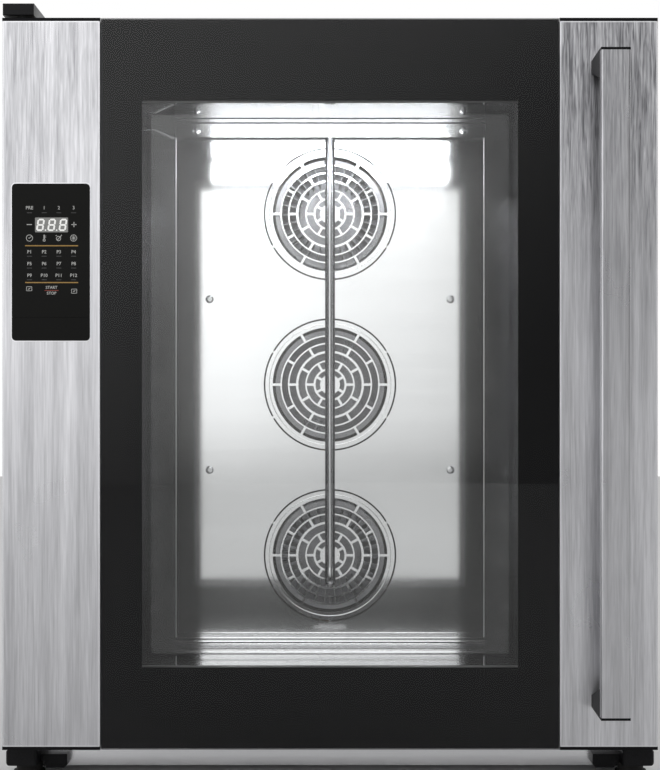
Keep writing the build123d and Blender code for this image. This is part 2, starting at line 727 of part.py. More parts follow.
def heating_ring(height):
    """Two turns of heating tube round a fan, with legs through the rear wall."""
    near, far = RING_DEPTHS
    legs_end = PLATE_BACK + RING_LEG_END
    bead = Sphere(RING_TUBE + RING_BEAD)
    x, _, z = ring_point((RING_FIRST + RING_SECOND) / 2, 0, 0)
    width, thick, tall = RING_FLANGE
    shape = block((x - width / 2, x + width / 2), deep(CAVITY_BACK - thick, CAVITY_BACK),
                  (z - tall / 2, z + tall / 2))
    for angle, depth in ((RING_FIRST, near), (RING_SECOND, far)):
        corner = ring_point(angle, depth, 0)
        leg = pipe((corner, ring_point(angle, legs_end, 0)), RING_TUBE)
        shape += leg + Pos(*corner) * bead
    riser = (ring_point(RING_RISER, near, 0), ring_point(RING_RISER, far, 0))
    link = pipe(riser, RING_TUBE)
    for corner in riser:
        link += Pos(*corner) * bead
    shape += link
    for depth, first in ((near, RING_FIRST), (far, RING_SECOND)):
        sweep_angle = first - (RING_RISER - 360)
        section = Plane.XZ.offset(0) * Pos(RING_RADIUS, 0) * Circle(RING_TUBE)
        turn = Pos(0, DOOR_FACE + depth, 0) * Rot(0, 360 - RING_RISER, 0)
        shape += turn * Rot(90, 0, 0) * revolve(section, Axis.Z, sweep_angle)
    return Pos(0, 0, height) * shape


# Water, steam and air

def steam_tube():
    """Upright tube in front of the guard, with a jet at the middle of each grille."""
    centre = (0, DOOR_FACE + TUBE_DEPTH)
    tube = rod("Z", (TUBE_END, CAVITY_ROOF), centre, TUBE_RADIUS)
    for height in fan_heights():
        tube += rod("Y", deep(TUBE_DEPTH, GUARD_BACK + 3), (0, height), JET_RADIUS)
    bore = (TUBE_END + TUBE_WALL, CAVITY_ROOF - TUBE_WALL)
    tube -= rod("Z", bore, centre, TUBE_RADIUS - TUBE_WALL)
    return tube - rod("Z", (CAVITY_ROOF - 2, CAVITY_ROOF + 1), centre, PIPE_RADIUS + SEAM)


def cavity_probe():
    """Temperature probe, from the left wall to the air under the rail."""
    y = DOOR_FACE + GUARD_FACE - PROBE_GAP
    z = CAVITY_ROOF - PROBE_DROP
    route = ((-CAVITY_HALF, y, z), (PROBE_BEND, y, z), (PROBE_TIP, y, z - PROBE_DROP))
    return pipe(route, PROBE_RADIUS)


def drain_cup():
    """Cup under the cavity floor, with a port for the drain pipe."""
    centre = (0, DOOR_FACE + DRAIN_DEPTH)
    top = CAVITY_FLOOR - SHEET
    low = DRAIN_Z - DRAIN_RADIUS - 2 * DRAIN_WALL
    cup = rod("Z", (low, top), centre, CUP_RADIUS)
    cup -= rod("Z", (low + DRAIN_WALL, top + 1), centre, CUP_RADIUS - DRAIN_WALL)
    return cup - rod("Y", deep(DRAIN_DEPTH, DRAIN_DEPTH + CUP_RADIUS + 1), (0, DRAIN_Z),
                     DRAIN_RADIUS + SEAM)


def drain_cover():
    """Strainer that lies on the cavity floor over the drain."""
    sketch = Circle(CUP_RADIUS + COVER_LAP)
    for step in range(COVER_HOLES):
        turn = Rot(0, 0, 360 / COVER_HOLES * step)
        sketch -= turn * Pos(COVER_CIRCLE, 0) * Circle(COVER_HOLE)
    return Pos(0, DOOR_FACE + DRAIN_DEPTH, CAVITY_FLOOR) * extrude(sketch, SHEET)


def drain_pipe():
    """Pipe from the drain cup to the back of the oven."""
    start = DRAIN_DEPTH + CUP_RADIUS - DRAIN_WALL
    span = deep(start, DRAIN_END)
    tube = rod("Y", span, (0, DRAIN_Z), DRAIN_RADIUS)
    tube += rod("Y", deep(REAR_FACE + SPIGOT_GAP, DRAIN_END), (0, DRAIN_Z), SPIGOT_RADIUS)
    return tube - rod("Y", deep(start - 1, DEPTH), (0, DRAIN_Z), DRAIN_RADIUS - DRAIN_WALL)


def vent_chimney():
    """Steam outlet from the cavity roof through the top cover."""
    centre = (VENT_ACROSS, DOOR_FACE + VENT_DEPTH)
    tube = rod("Z", (CAVITY_ROOF, VENT_TOP), centre, VENT_RADIUS)
    tube += rod("Z", (CAVITY_ROOF + SHEET, CAVITY_ROOF + 2 * SHEET), centre,
                VENT_RADIUS + VENT_FLANGE)
    tube += rod("Z", (CASING_TOP + SPIGOT_GAP, VENT_TOP), centre, VENT_MOUTH)
    return tube - rod("Z", (CAVITY_ROOF - 1, VENT_TOP + 1), centre, VENT_RADIUS - SHEET)


def water_valve():
    """Valve on the rear panel, with its threaded inlet, its outlet arm and its coil."""
    body = block((VALVE_ACROSS - VALVE_HALF, VALVE_ACROSS + VALVE_HALF),
                 deep(REAR_FACE - VALVE_BODY, REAR_FACE - SHEET),
                 (VALVE_Z - VALVE_TALL, VALVE_Z + VALVE_TALL))
    place = (VALVE_ACROSS, VALVE_Z)
    body += rod("Y", deep(REAR_FACE - 10, REAR_FACE + 2 * SPIGOT_GAP), place, INLET_NECK)
    body += rod("Y", deep(REAR_FACE + SPIGOT_GAP, DEPTH), place, INLET_RADIUS)
    coil_low = VALVE_Z + STEM_HEIGHT
    coil_front = PIPE_DEPTH + COIL_BACK
    stem_y = DOOR_FACE + coil_front + COIL_DEPTH / 2
    body += rod("Z", (VALVE_Z, coil_low + 1), (VALVE_ACROSS, stem_y), STEM_RADIUS)
    body -= rod("Y", deep(DEPTH - INLET_BORE_DEPTH, DEPTH + 1), place, INLET_BORE)
    arm = block((VALVE_ACROSS - ARM_HALF, VALVE_ACROSS + ARM_HALF),
                deep(PIPE_DEPTH - ARM_TALL, REAR_FACE - VALVE_BODY + 2),
                (VALVE_Z - ARM_TALL, VALVE_Z + ARM_TALL))
    coil = block((VALVE_ACROSS - COIL_HALF, VALVE_ACROSS + COIL_HALF),
                 deep(coil_front, coil_front + COIL_DEPTH), (coil_low, coil_low + COIL_HEIGHT))
    return body + arm + coil


def water_pipe():
    """Metal pipe from the valve over the cavity to the steam tube."""
    y = DOOR_FACE + PIPE_DEPTH
    tube_y = DOOR_FACE + TUBE_DEPTH
    route = ((0, tube_y, CAVITY_ROOF - TUBE_WALL), (0, tube_y, PIPE_Z), (0, y, PIPE_Z),
             (VALVE_ACROSS, y, PIPE_Z), (VALVE_ACROSS, y, VALVE_Z + ARM_TALL))
    return pipe(route, PIPE_RADIUS)


def cable_gland():
    """Gland for the supply lead, with its nut inside the rear panel."""
    place = (GLAND_ACROSS, GLAND_Z)
    gland = rod("Y", deep(REAR_FACE, REAR_FACE + GLAND_BODY_LENGTH), place, GLAND_BODY)
    gland += rod("Y", deep(REAR_FACE + 1, REAR_FACE + GLAND_REACH), place, GLAND_CAP)
    gland += rod("Y", deep(REAR_FACE - GLAND_INSIDE, REAR_FACE + 1), place, GLAND_THREAD)
    gland -= rod("Y", deep(REAR_FACE - GLAND_INSIDE - 1, REAR_FACE + GLAND_REACH + 1), place,
                 GLAND_BORE)
    ring = RegularPolygon(GLAND_BODY, 6) - Circle(GLAND_THREAD + PRESS)
    nut = upright(ring, REAR_FACE - SHEET - GLAND_NUT, GLAND_NUT, GLAND_Z, GLAND_ACROSS)
    return gland, nut


# Technical space

def on_board(left, low, size):
    """Component that stands on the face of the board."""
    width, depth, height = size
    face = PLATE_BACK + BOARD_LIFT + BOARD_THICK
    return block((left, left + width), deep(face, face + depth), (low, low + height))


def power_board():
    """Board on the motor plate with its relays, transformer, heat sink and socket row."""
    board = PLATE_BACK + BOARD_LIFT
    solids = [block((BOARD_LEFT, BOARD_RIGHT), deep(board, board + BOARD_THICK),
                    (BOARD_LOW, BOARD_HIGH))]
    for x in (BOARD_LEFT + STANDOFF_INSET, BOARD_RIGHT - STANDOFF_INSET):
        for z in (BOARD_LOW + STANDOFF_INSET, BOARD_HIGH - STANDOFF_INSET):
            solids.append(rod("Y", deep(PLATE_BACK, board), (x, z), STANDOFF_RADIUS))
    left = BOARD_LEFT + PIECE_INSET
    top = BOARD_HIGH - PIECE_INSET
    row = BOARD_LOW + PIECE_INSET
    solids.append(on_board(left, top - TRANSFORMER_SIZE[2], TRANSFORMER_SIZE))
    solids.append(on_board(BOARD_RIGHT - PIECE_INSET - SINK_SIZE[0], top - SINK_SIZE[2],
                           SINK_SIZE))
    solids.append(on_board(left, row, SOCKET_SIZE))
    for step in range(RELAY_COUNT):
        solids.append(on_board(left + RELAY_PITCH * step, row + 2 * SOCKET_SIZE[2],
                               RELAY_SIZE))
    return solids


def terminal_block():
    """Terminals of the supply lead, on the motor plate near the gland."""
    depth, height = TERMINAL_SIZE
    top = TERMINAL_LOW + height
    base = block((TERMINAL_LEFT, TERMINAL_RIGHT), deep(PLATE_BACK, PLATE_BACK + depth),
                 (TERMINAL_LOW, top))
    pitch = (TERMINAL_RIGHT - TERMINAL_LEFT) / TERMINAL_POLES
    cut = deep(PLATE_BACK + depth - TERMINAL_CUT, PLATE_BACK + depth + 1)
    for step in range(TERMINAL_POLES):
        x = TERMINAL_LEFT + pitch * (step + 0.5)
        base -= block((x - 0.3 * pitch, x + 0.3 * pitch), cut,
                      (TERMINAL_LOW - 1, TERMINAL_LOW + TERMINAL_CUT))
        base -= rod("Y", cut, (x, top - TERMINAL_CUT), 0.2 * pitch)
    return base


def cooler_frame():
    """Frame of the cooling fan, on the inside of the rear panel."""
    back = REAR_FACE - SHEET
    bore = COOLER_RADIUS + COOLER_TIP
    sketch = RectangleRounded(COOLER_SIZE, COOLER_SIZE, COOLER_CORNER) - Circle(bore)
    place = (COOLER_ACROSS, COOLER_Z)
    frame = upright(sketch, back - COOLER_DEPTH, COOLER_DEPTH, COOLER_Z, COOLER_ACROSS)
    strut = deep(back - STRUT_DEPTH, back)
    half = STRUT_WIDTH / 2
    reach = bore + 1
    frame += block((COOLER_ACROSS - reach, COOLER_ACROSS + reach), strut,
                   (COOLER_Z - half, COOLER_Z + half))
    frame += block((COOLER_ACROSS - half, COOLER_ACROSS + half), strut,
                   (COOLER_Z - reach, COOLER_Z + reach))
    frame += rod("Y", strut, place, COOLER_HUB)
    return frame + rod("Y", deep(back - COOLER_DEPTH + 8, back), place, COOLER_PIN)


def cooler_rotor():
    """Hub and blades of the cooling fan."""
    back = REAR_FACE - SHEET - STRUT_DEPTH - SEAM
    front = REAR_FACE - SHEET - COOLER_DEPTH + 5
    place = (COOLER_ACROSS, COOLER_Z)
    rotor = rod("Y", deep(front, back), place, COOLER_HUB)
    root = COOLER_HUB - COOLER_TIP
    blade = Box(COOLER_RADIUS - root, BLADE_THICK, BLADE_CHORD)
    blade = Pos((COOLER_RADIUS + root) / 2, 0, 0) * Rot(BLADE_PITCH, 0, 0) * blade
    middle = (front + back) / 2
    for step in range(COOLER_BLADES):
        turn = Rot(0, 360 / COOLER_BLADES * step, 0)
        rotor += Pos(COOLER_ACROSS, DOOR_FACE + middle, COOLER_Z) * turn * blade
    return rotor - rod("Y", deep(front + COOLER_TIP, back + 1), place, COOLER_PIN + RUNNING)


# Hinges, feet and catch

def hinge_bracket_top():
    """Block on the top cover that reaches forward over the door."""
    across = (-HALF, -HALF + BRACKET_WIDTH)
    bracket = block(across, deep(BRACKET_FRONT, BRACKET_REACH),
                    (CASING_TOP, CASING_TOP + BRACKET_HEIGHT))
    bracket = fillet(bracket.edges().filter_by(Axis.X), BRACKET_ROUND)
    return bracket - rod("Z", (CASING_TOP - 1, CASING_TOP + BRACKET_HEIGHT - PIN_FLOOR),
                         (HINGE_ACROSS, DOOR_FACE + HINGE_DEPTH), PIN_RADIUS + PRESS)


def corner_block():
    """Left lower block: the nose under the door, with a foot's stud in it, and the lug."""
    inner = -HALF + LOWER_WIDTH
    nose = block((-HALF, inner), deep(LOWER_FRONT, BODY_FRONT), (LOWER_LOW, LOWER_HIGH))
    outside = nose.faces().sort_by(Axis.X)[0].edges().sort_by(Axis.Y)[:-1]
    inside = nose.edges().filter_by(Axis.Z).group_by(Axis.Y)[0].sort_by(Axis.X)[-1:]
    nose = fillet(outside + inside, LOWER_ROUND)
    lug = block((inner - LUG_OVERLAP, inner + LUG_WIDTH), deep(LUG_FRONT, BODY_FRONT),
                (LUG_LOW, LUG_HIGH))
    corner = lug.faces().sort_by(Axis.X)[-1].edges().sort_by(Axis.Z)[0]
    lug = chamfer(corner, LUG_CHAMFER)
    lug -= rod("Z", (0, LOWER_LOW), (-PAD_ACROSS, DOOR_FACE + PAD_FRONT), PAD_RADIUS + SEAM)
    socket = rod("Z", (0, LOWER_LOW + STUD_LENGTH), (-PAD_ACROSS, DOOR_FACE + PAD_FRONT),
                 STUD_RADIUS + PRESS)
    return nose + lug - socket


def hinge_bracket_bottom():
    """Lower left block, bored for the lower hinge pin."""
    return corner_block() - rod("Z", (LOWER_LOW + PIN_FLOOR, LOWER_HIGH + 1),
                                (HINGE_ACROSS, DOOR_FACE + HINGE_DEPTH),
                                PIN_RADIUS + PRESS)


def hinge_pins():
    """Upper and lower hinge pins; the lower one has the collar that carries the door."""
    centre = (HINGE_ACROSS, DOOR_FACE + HINGE_DEPTH)
    upper = rod("Z", (DOOR_TOP - PIN_LENGTH, CASING_TOP + BRACKET_HEIGHT - PIN_FLOOR),
                centre, PIN_RADIUS)
    lower = rod("Z", (LOWER_LOW + PIN_FLOOR, DOOR_BOTTOM + PIN_LENGTH), centre, PIN_RADIUS)
    lower += rod("Z", (LOWER_HIGH, DOOR_BOTTOM - BUSH_LIP - SEAM), centre, BUSH_FLANGE - 1)
    return upper, lower


def hinge_bushes():
    """Flanged bushes in the top and the bottom of the door."""
    centre = (HINGE_ACROSS, DOOR_FACE + HINGE_DEPTH)
    upper = rod("Z", (DOOR_TOP - PIN_LENGTH, DOOR_TOP + BUSH_LIP), centre, BUSH_RADIUS)
    upper += rod("Z", (DOOR_TOP, DOOR_TOP + BUSH_LIP), centre, BUSH_FLANGE)
    lower = rod("Z", (DOOR_BOTTOM - BUSH_LIP, DOOR_BOTTOM + PIN_LENGTH), centre, BUSH_RADIUS)
    lower += rod("Z", (DOOR_BOTTOM - BUSH_LIP, DOOR_BOTTOM), centre, BUSH_FLANGE)
    bore = rod("Z", (0, DOOR_TOP + 10), centre, PIN_RADIUS + RUNNING)
    return upper - bore, lower - bore


def foot_pads():
    """Four round feet with their studs; the front ones are taller, under the corner blocks."""
    feet = []
    for side in (-1, 1):
        for depth, seat in ((PAD_FRONT, LOWER_LOW), (PAD_BACK, BASE_LIFT)):
            place = (side * PAD_ACROSS, DOOR_FACE + depth)
            pad = rod("Z", (0, BASE_LIFT), place, PAD_RADIUS)
            pad = fillet(pad.faces().sort_by(Axis.Z)[0].edges(), PAD_ROUND)
            pad += rod("Z", (BASE_LIFT / 2, seat), place, PAD_NECK)
            feet.append(pad + rod("Z", (seat - 1, seat + STUD_LENGTH), place, STUD_RADIUS))
    return feet


def door_strike():
    """Plate on the back of the door, and the tongue on it that the catch roller holds."""
    left = TONGUE_ACROSS - TONGUE_THICK / 2
    right = TONGUE_ACROSS + TONGUE_THICK / 2
    tall = (CATCH_Z - TONGUE_HALF, CATCH_Z + TONGUE_HALF)
    plate = block((TONGUE_ACROSS - STRIKE_WIDTH, right),
                  deep(DOOR_THICK, DOOR_THICK + STRIKE_THICK),
                  (CATCH_Z - 2 * TONGUE_HALF, CATCH_Z + 2 * TONGUE_HALF))
    tongue = block((left, right), deep(DOOR_THICK + STRIKE_THICK, TONGUE_END), tall)
    tip = block((left - TONGUE_BULGE, right), deep(TONGUE_END - TONGUE_TIP, TONGUE_END), tall)
    tip = chamfer(tip.edges().filter_by(Axis.Z).group_by(Axis.X)[0], TONGUE_BULGE - 0.1)
    return plate, tongue + tip


def roller_axis():
    """Where the catch roller turns."""
    across = TONGUE_ACROSS - TONGUE_THICK / 2 - TONGUE_BULGE - SEAM - ROLLER_RADIUS
    return (across, DOOR_FACE + ROLLER_DEPTH)


def catch_roller():
    """Roller that presses beside the tongue."""
    span = (CATCH_Z - ROLLER_HALF, CATCH_Z + ROLLER_HALF)
    roller = rod("Z", span, roller_axis(), ROLLER_RADIUS)
    return roller - rod("Z", (span[0] - 1, span[1] + 1), roller_axis(), ROLLER_PIN + RUNNING)


def catch_plunger():
    """Sliding bar with a fork and the pin of the roller."""
    across, y = roller_axis()
    tall = (CATCH_Z - PLUNGER_HALF, CATCH_Z + PLUNGER_HALF)
    wide = (y - PLUNGER_DEPTH / 2, y + PLUNGER_DEPTH / 2)
    bar = block((PLUNGER_TAIL, across + 2 * ROLLER_PIN), wide, tall)
    gap = ROLLER_HALF + SEAM
    bar -= block((across - ROLLER_RADIUS - 1, TONGUE_ACROSS), (wide[0] - 1, wide[1] + 1),
                 (CATCH_Z - gap, CATCH_Z + gap))
    return bar + rod("Z", tall, (across, y), ROLLER_PIN)


def catch_housing():
    """Guide of the plunger, behind the front frame."""
    across, y = roller_axis()
    right = across - ROLLER_RADIUS - PLUNGER_STROKE - 2 * SEAM
    wide = (y - PLUNGER_DEPTH / 2 - SEAM, y + PLUNGER_DEPTH / 2 + SEAM)
    tall = (CATCH_Z - PLUNGER_HALF - SEAM, CATCH_Z + PLUNGER_HALF + SEAM)
    shell = block((CAVITY_HALF + SHEET, right),
                  (DOOR_FACE + BODY_FRONT + FRAME_SHEET, wide[1] + HOUSING_WALL),
                  (tall[0] - HOUSING_WALL, tall[1] + HOUSING_WALL))
    return shell - block((PLUNGER_TAIL - PLUNGER_STROKE, right + 1), wide, tall)


# Door

def door_stile(side):
    """Folded upright of the door frame, open to the front."""
    out = HALF - SHEET - SEAM
    inner = WINDOW_HALF + WINDOW_EDGE
    low = DOOR_BOTTOM + CAP_HEIGHT
    high = DOOR_TOP - CAP_HEIGHT
    tall = (low, high)
    near = deep(GLASS_BACK, DOOR_THICK)
    stile = block((inner, out), deep(DOOR_THICK - FRAME_SHEET, DOOR_THICK), tall)
    stile += block((out - FRAME_SHEET, out), near, tall)
    stile += block((inner, inner + FRAME_SHEET), near, tall)
    for z in (low, high - FRAME_SHEET):
        stile += block((inner, out), near, (z, z + FRAME_SHEET))
    if side > 0:
        return stile
    stile = mirrored(stile)
    return stile - rod("Z", (low - 1, high + 1), (HINGE_ACROSS, DOOR_FACE + HINGE_DEPTH),
                       BUSH_RADIUS + PRESS)


def door_rail(low, high):
    """Folded cross piece of the door frame, open to the front."""
    inner = WINDOW_HALF + WINDOW_EDGE
    wide = (-inner, inner)
    near = deep(GLASS_BACK, DOOR_THICK)
    rail = block(wide, deep(DOOR_THICK - FRAME_SHEET, DOOR_THICK), (low, high))
    for z in (low, high - FRAME_SHEET):
        rail += block(wide, near, (z, z + FRAME_SHEET))
    return rail


def door_frame():
    """Two stiles and two rails round the window, the upper one cut out for the lamp."""
    lower = door_rail(DOOR_BOTTOM + CAP_HEIGHT, WINDOW_LOW - WINDOW_EDGE)
    upper = door_rail(WINDOW_HIGH + WINDOW_EDGE, DOOR_TOP - CAP_HEIGHT)
    upper -= block((-LAMP_HALF - SEAM, LAMP_HALF + SEAM),
                   deep(DOOR_THICK - 2 * FRAME_SHEET, DOOR_THICK + 1),
                   (LAMP_LOW - SEAM, LAMP_HIGH + SEAM))
    return door_stile(-1), door_stile(1), lower, upper


def outer_glass():
    """Outer pane, from column to column and over the whole height of the door."""
    wide = COLUMN_IN - SEAM
    return block((-wide, wide), deep(GLASS_INSET, GLASS_BACK), (DOOR_BOTTOM, DOOR_TOP))


def inner_glass():
    """Inner pane on the back of the door frame."""
    return block((-INNER_HALF, INNER_HALF), deep(DOOR_THICK, DOOR_THICK + GLASS_THICK),
                 (CAVITY_FLOOR + INNER_EDGE, CAVITY_ROOF - INNER_EDGE))


def glass_clips():
    """Four hooks that hold the inner pane at its sides."""
    hooks = []
    lip_front = DOOR_THICK + GLASS_THICK + SEAM
    for side in (-1, 1):
        for z in (CAVITY_FLOOR + CLIP_INSET, CAVITY_ROOF - CLIP_INSET):
            tall = (z - CLIP_HALF, z + CLIP_HALF)
            foot = block((INNER_HALF + SEAM, INNER_HALF + CLIP_WIDTH),
                         deep(DOOR_THICK, lip_front), tall)
            lip = block((INNER_HALF - CLIP_LAP, INNER_HALF + CLIP_WIDTH),
                        deep(lip_front, lip_front + CLIP_THICK), tall)
            hook = foot + lip
            hooks.append(hook if side > 0 else mirrored(hook))
    return hooks


def column():
    """Right column of the door: a folded stainless sheet."""
    tall = (DOOR_BOTTOM + CAP_HEIGHT, DOOR_TOP - CAP_HEIGHT)
    skin = block((COLUMN_IN, HALF), deep(0, SHEET), tall)
    skin += block((HALF - SHEET, HALF), deep(0, COLUMN_DEPTH), tall)
    skin += block((COLUMN_IN, COLUMN_IN + SHEET), deep(0, COLUMN_RETURN), tall)
    front = skin.edges().filter_by(Axis.Z).group_by(Axis.Y)[0]
    return fillet(front, COLUMN_ROUND)


def column_caps():
    """Black caps on the ends of both columns."""
    caps = []
    for side in (-1, 1):
        for low in (DOOR_BOTTOM, DOOR_TOP - CAP_HEIGHT):
            cap = block((COLUMN_IN, HALF), deep(0, COLUMN_DEPTH), (low, low + CAP_HEIGHT))
            if side < 0:
                cap = mirrored(cap)
                cap -= rod("Z", (low - 1, low + CAP_HEIGHT + 1),
                           (HINGE_ACROSS, DOOR_FACE + HINGE_DEPTH), BUSH_RADIUS + PRESS)
            caps.append(cap)
    return caps


def panel_plate(low, high):
    """Black plate on the face of the left column."""
    return block((PANEL_LEFT, PANEL_RIGHT), deep(-PANEL_THICK, 0), (low, high))


def control_panel():
    """Touch plate, rounded at its top corners."""
    plate = panel_plate(PANEL_SPLIT, PANEL_HIGH)
    corners = plate.edges().filter_by(Axis.Y).group_by(Axis.Z)[-1]
    return fillet(corners, PANEL_CORNER)


def panel_cover():
    """Cover below the touch plate, rounded at its bottom corners."""
    plate = panel_plate(PANEL_LOW, PANEL_SPLIT - SEAM)
    corners = plate.edges().filter_by(Axis.Y).group_by(Axis.Z)[0]
    return fillet(corners, PANEL_CORNER)


def control_board():
    """Board behind the touch plate, on four pillars, with its processor."""
    left, right = PANEL_LEFT + PANEL_INSET, PANEL_RIGHT - PANEL_INSET
    low, high = PANEL_LOW + 3 * PANEL_INSET, PANEL_HIGH - PANEL_INSET
    solids = [block((left, right), deep(TOUCH_LIFT, TOUCH_LIFT + BOARD_THICK), (low, high))]
    for x in (left + PANEL_INSET, right - PANEL_INSET):
        for z in (low + PANEL_INSET, high - PANEL_INSET):
            solids.append(rod("Y", deep(SHEET, TOUCH_LIFT), (x, z), PILLAR_RADIUS))
    width, depth, height = CHIP_SIZE
    x = (left + right - width) / 2
    z = high - 3 * PANEL_INSET - height
    solids.append(block((x, x + width), deep(TOUCH_LIFT - depth, TOUCH_LIFT), (z, z + height)))
    return solids


def door_lamp():
    """Lamp behind the upper border, which shines back into the cavity through the inner pane."""
    seat = DOOR_THICK - FRAME_SHEET
    wide = LAMP_HALF + LAMP_LEDGE
    housing = block((-wide, wide), deep(LAMP_FRONT, seat),
                    (LAMP_LOW - LAMP_LEDGE, LAMP_HIGH + LAMP_LEDGE))
    housing = fillet(housing.faces().sort_by(Axis.Y)[0].edges(), LAMP_ROUND)
    return housing + block((-LAMP_HALF, LAMP_HALF), deep(seat - 1, DOOR_THICK - SEAM),
                           (LAMP_LOW, LAMP_HIGH))


def handle_grip():
    """Flat bar of the handle."""
    length = GRIP_HALF - GRIP_CAP
    grip = block((GRIP_LEFT, GRIP_LEFT + GRIP_WIDTH),
                 deep(-HANDLE_REACH, -HANDLE_REACH + GRIP_THICK),
                 (DOOR_MID - length, DOOR_MID + length))
    return fillet(grip.edges().filter_by(Axis.Z), GRIP_ROUND)


def handle_post():
    """Upper post of the handle, tapered to the door, with the cap of the grip's end."""
    near = -HANDLE_REACH + GRIP_THICK
    root = post_section(GRIP_WIDTH + 2 * POST_FLARE, POST_ROOT_LOW, POST_ROOT_HIGH, 0)
    end = post_section(GRIP_WIDTH, POST_GRIP_LOW, GRIP_HALF, near)
    cap = block((-GRIP_WIDTH / 2, GRIP_WIDTH / 2), deep(-HANDLE_REACH, near),
                (GRIP_HALF - GRIP_CAP, GRIP_HALF))
    return Pos(GRIP_LEFT + GRIP_WIDTH / 2, 0, 0) * (loft([root, end], ruled=True) + cap)


def post_section(width, low, high, depth):
    """Upright rectangle across a post, at a depth behind the door face."""
    plane = Plane(origin=(0, DOOR_FACE + depth, (low + high) / 2), x_dir=(1, 0, 0),
                  z_dir=(0, -1, 0))
    return plane * Rectangle(width, high - low)


def handle_posts():
    """Both posts of the handle."""
    upper = handle_post()
    lower = mirror(upper, about=Plane.XY)
    return Pos(0, 0, DOOR_MID) * upper, Pos(0, 0, DOOR_MID) * lower


def build():
    """Makes every node."""
    add("base_pan", base_pan())
    add("side_panels", side_panel(), mirrored(side_panel()))
    add("top_cover", top_cover())
    add("rear_panel", rear_panel())
    add("front_frame", *front_frame())
    add("motor_plate", motor_plate())
    add("insulation", *insulation())
    add("cavity_sides", cavity_side(), mirrored(cavity_side()))
    add("cavity_roof", cavity_roof())
    add("cavity_floor", cavity_floor())
    add("cavity_back", cavity_back())
    add("door_gasket", door_gasket())
    rack = tray_rack()
    add("tray_racks", *rack, *[mirrored(piece) for piece in rack])
    add("fan_guard", fan_guard())
    add("guard_rail", guard_rail())
    add("guard_spacers", *guard_spacers())
    add("guard_screws", *guard_screws())
    for place, height in zip(("top", "middle", "bottom"), fan_heights()):
        add("fan_wheel_" + place, fan_wheel(height))
        add("motor_shaft_" + place, *motor_shaft(height))
    add("fan_motors", *[fan_motor(height) for height in fan_heights()])
    add("heating_rings", *[heating_ring(height) for height in fan_heights()])
    add("steam_tube", steam_tube())
    add("cavity_probe", cavity_probe())
    add("drain_cup", drain_cup())
    add("drain_cover", drain_cover())
    add("drain_pipe", drain_pipe())
    add("vent_chimney", vent_chimney())
    add("water_valve", water_valve())
    add("water_pipe", water_pipe())
    add("cable_gland", *cable_gland())
    add("power_board", *power_board(), terminal_block())
    add("cooler_frame", cooler_frame())
    add("cooler_rotor", cooler_rotor())
    add("hinge_bracket_top", hinge_bracket_top())
    add("hinge_bracket_bottom", hinge_bracket_bottom())
    add("door_rest", mirrored(corner_block()))
    add("hinge_pins", *hinge_pins())
    add("hinge_bushes", *hinge_bushes())
    add("foot_pads", *foot_pads())
    add("catch_housing", catch_housing())
    add("catch_plunger", catch_plunger())
    add("catch_roller", catch_roller())
    add("door_strike", *door_strike())
    add("door_frame", *door_frame())
    add("outer_glass", outer_glass())
    add("inner_glass", inner_glass())
    add("glass_clips", *glass_clips())
    add("column_right", column())
    add("column_left", mirrored(column()))
    add("column_caps", *column_caps())
    add("control_panel", control_panel())
    add("panel_cover", panel_cover())
    add("control_board", *control_board())
    add("door_lamp", door_lamp())
    add("handle_grip", handle_grip())
    add("handle_posts", *handle_posts())


def write():
    """Writes one STEP file for each node."""
    os.makedirs("parts", exist_ok=True)
    for name, solids in parts.items():
        shape = solids[0] if len(solids) == 1 else Compound(solids)
        export_step(shape, "parts/" + name + ".step")
    print(len(parts), "nodes,", sum(len(solids) for solids in parts.values()), "solids")


build()
write()
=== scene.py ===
# %% [markdown]
# A convection oven, dressed for its picture.
# The oven comes in from its CAD model as sixty named parts that already have the right shape and
# size. What they lack is what the eye reads as real: the grain of the steel, the ink on the
# glass, the lit figures of the panel, the screw heads. This lesson adds those one at a time.
# Nothing that came from CAD is moved, so the door and the fans still turn where they should.
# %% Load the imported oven
import json
from math import radians

import bpy
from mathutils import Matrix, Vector


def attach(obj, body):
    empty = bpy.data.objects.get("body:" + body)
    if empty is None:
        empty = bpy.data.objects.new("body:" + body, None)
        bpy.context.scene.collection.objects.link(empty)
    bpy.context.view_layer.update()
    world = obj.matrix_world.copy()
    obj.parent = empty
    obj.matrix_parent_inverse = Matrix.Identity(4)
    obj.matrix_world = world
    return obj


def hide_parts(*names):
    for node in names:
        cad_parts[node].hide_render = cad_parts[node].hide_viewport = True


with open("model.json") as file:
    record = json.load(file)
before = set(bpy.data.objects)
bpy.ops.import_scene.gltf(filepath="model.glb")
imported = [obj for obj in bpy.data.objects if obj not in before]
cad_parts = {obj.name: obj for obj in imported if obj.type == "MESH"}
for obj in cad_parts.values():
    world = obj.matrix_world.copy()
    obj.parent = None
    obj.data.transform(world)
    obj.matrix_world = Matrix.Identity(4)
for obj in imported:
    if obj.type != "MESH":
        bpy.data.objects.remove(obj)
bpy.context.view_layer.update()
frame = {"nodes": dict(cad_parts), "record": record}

# %% [markdown]
# The camera comes first, because every later choice is judged through it. The photograph looks
# straight at the door from about two metres, level with the middle of the oven, so the sides are
# not seen at all and the door is a plain rectangle. A long lens does that without leaning lines.
# %% Camera straight in front of the door
DOOR_FACE = -0.3755
EYE = (0.0, DOOR_FACE - 2.2, 0.4854)

bpy.ops.object.camera_add(location=EYE, rotation=(radians(90), 0, 0))
camera = bpy.context.object
camera.name = "camera"
camera.data.lens = 84.3
bpy.context.scene.camera = camera
print("camera at", [round(v, 3) for v in EYE], "lens", camera.data.lens)

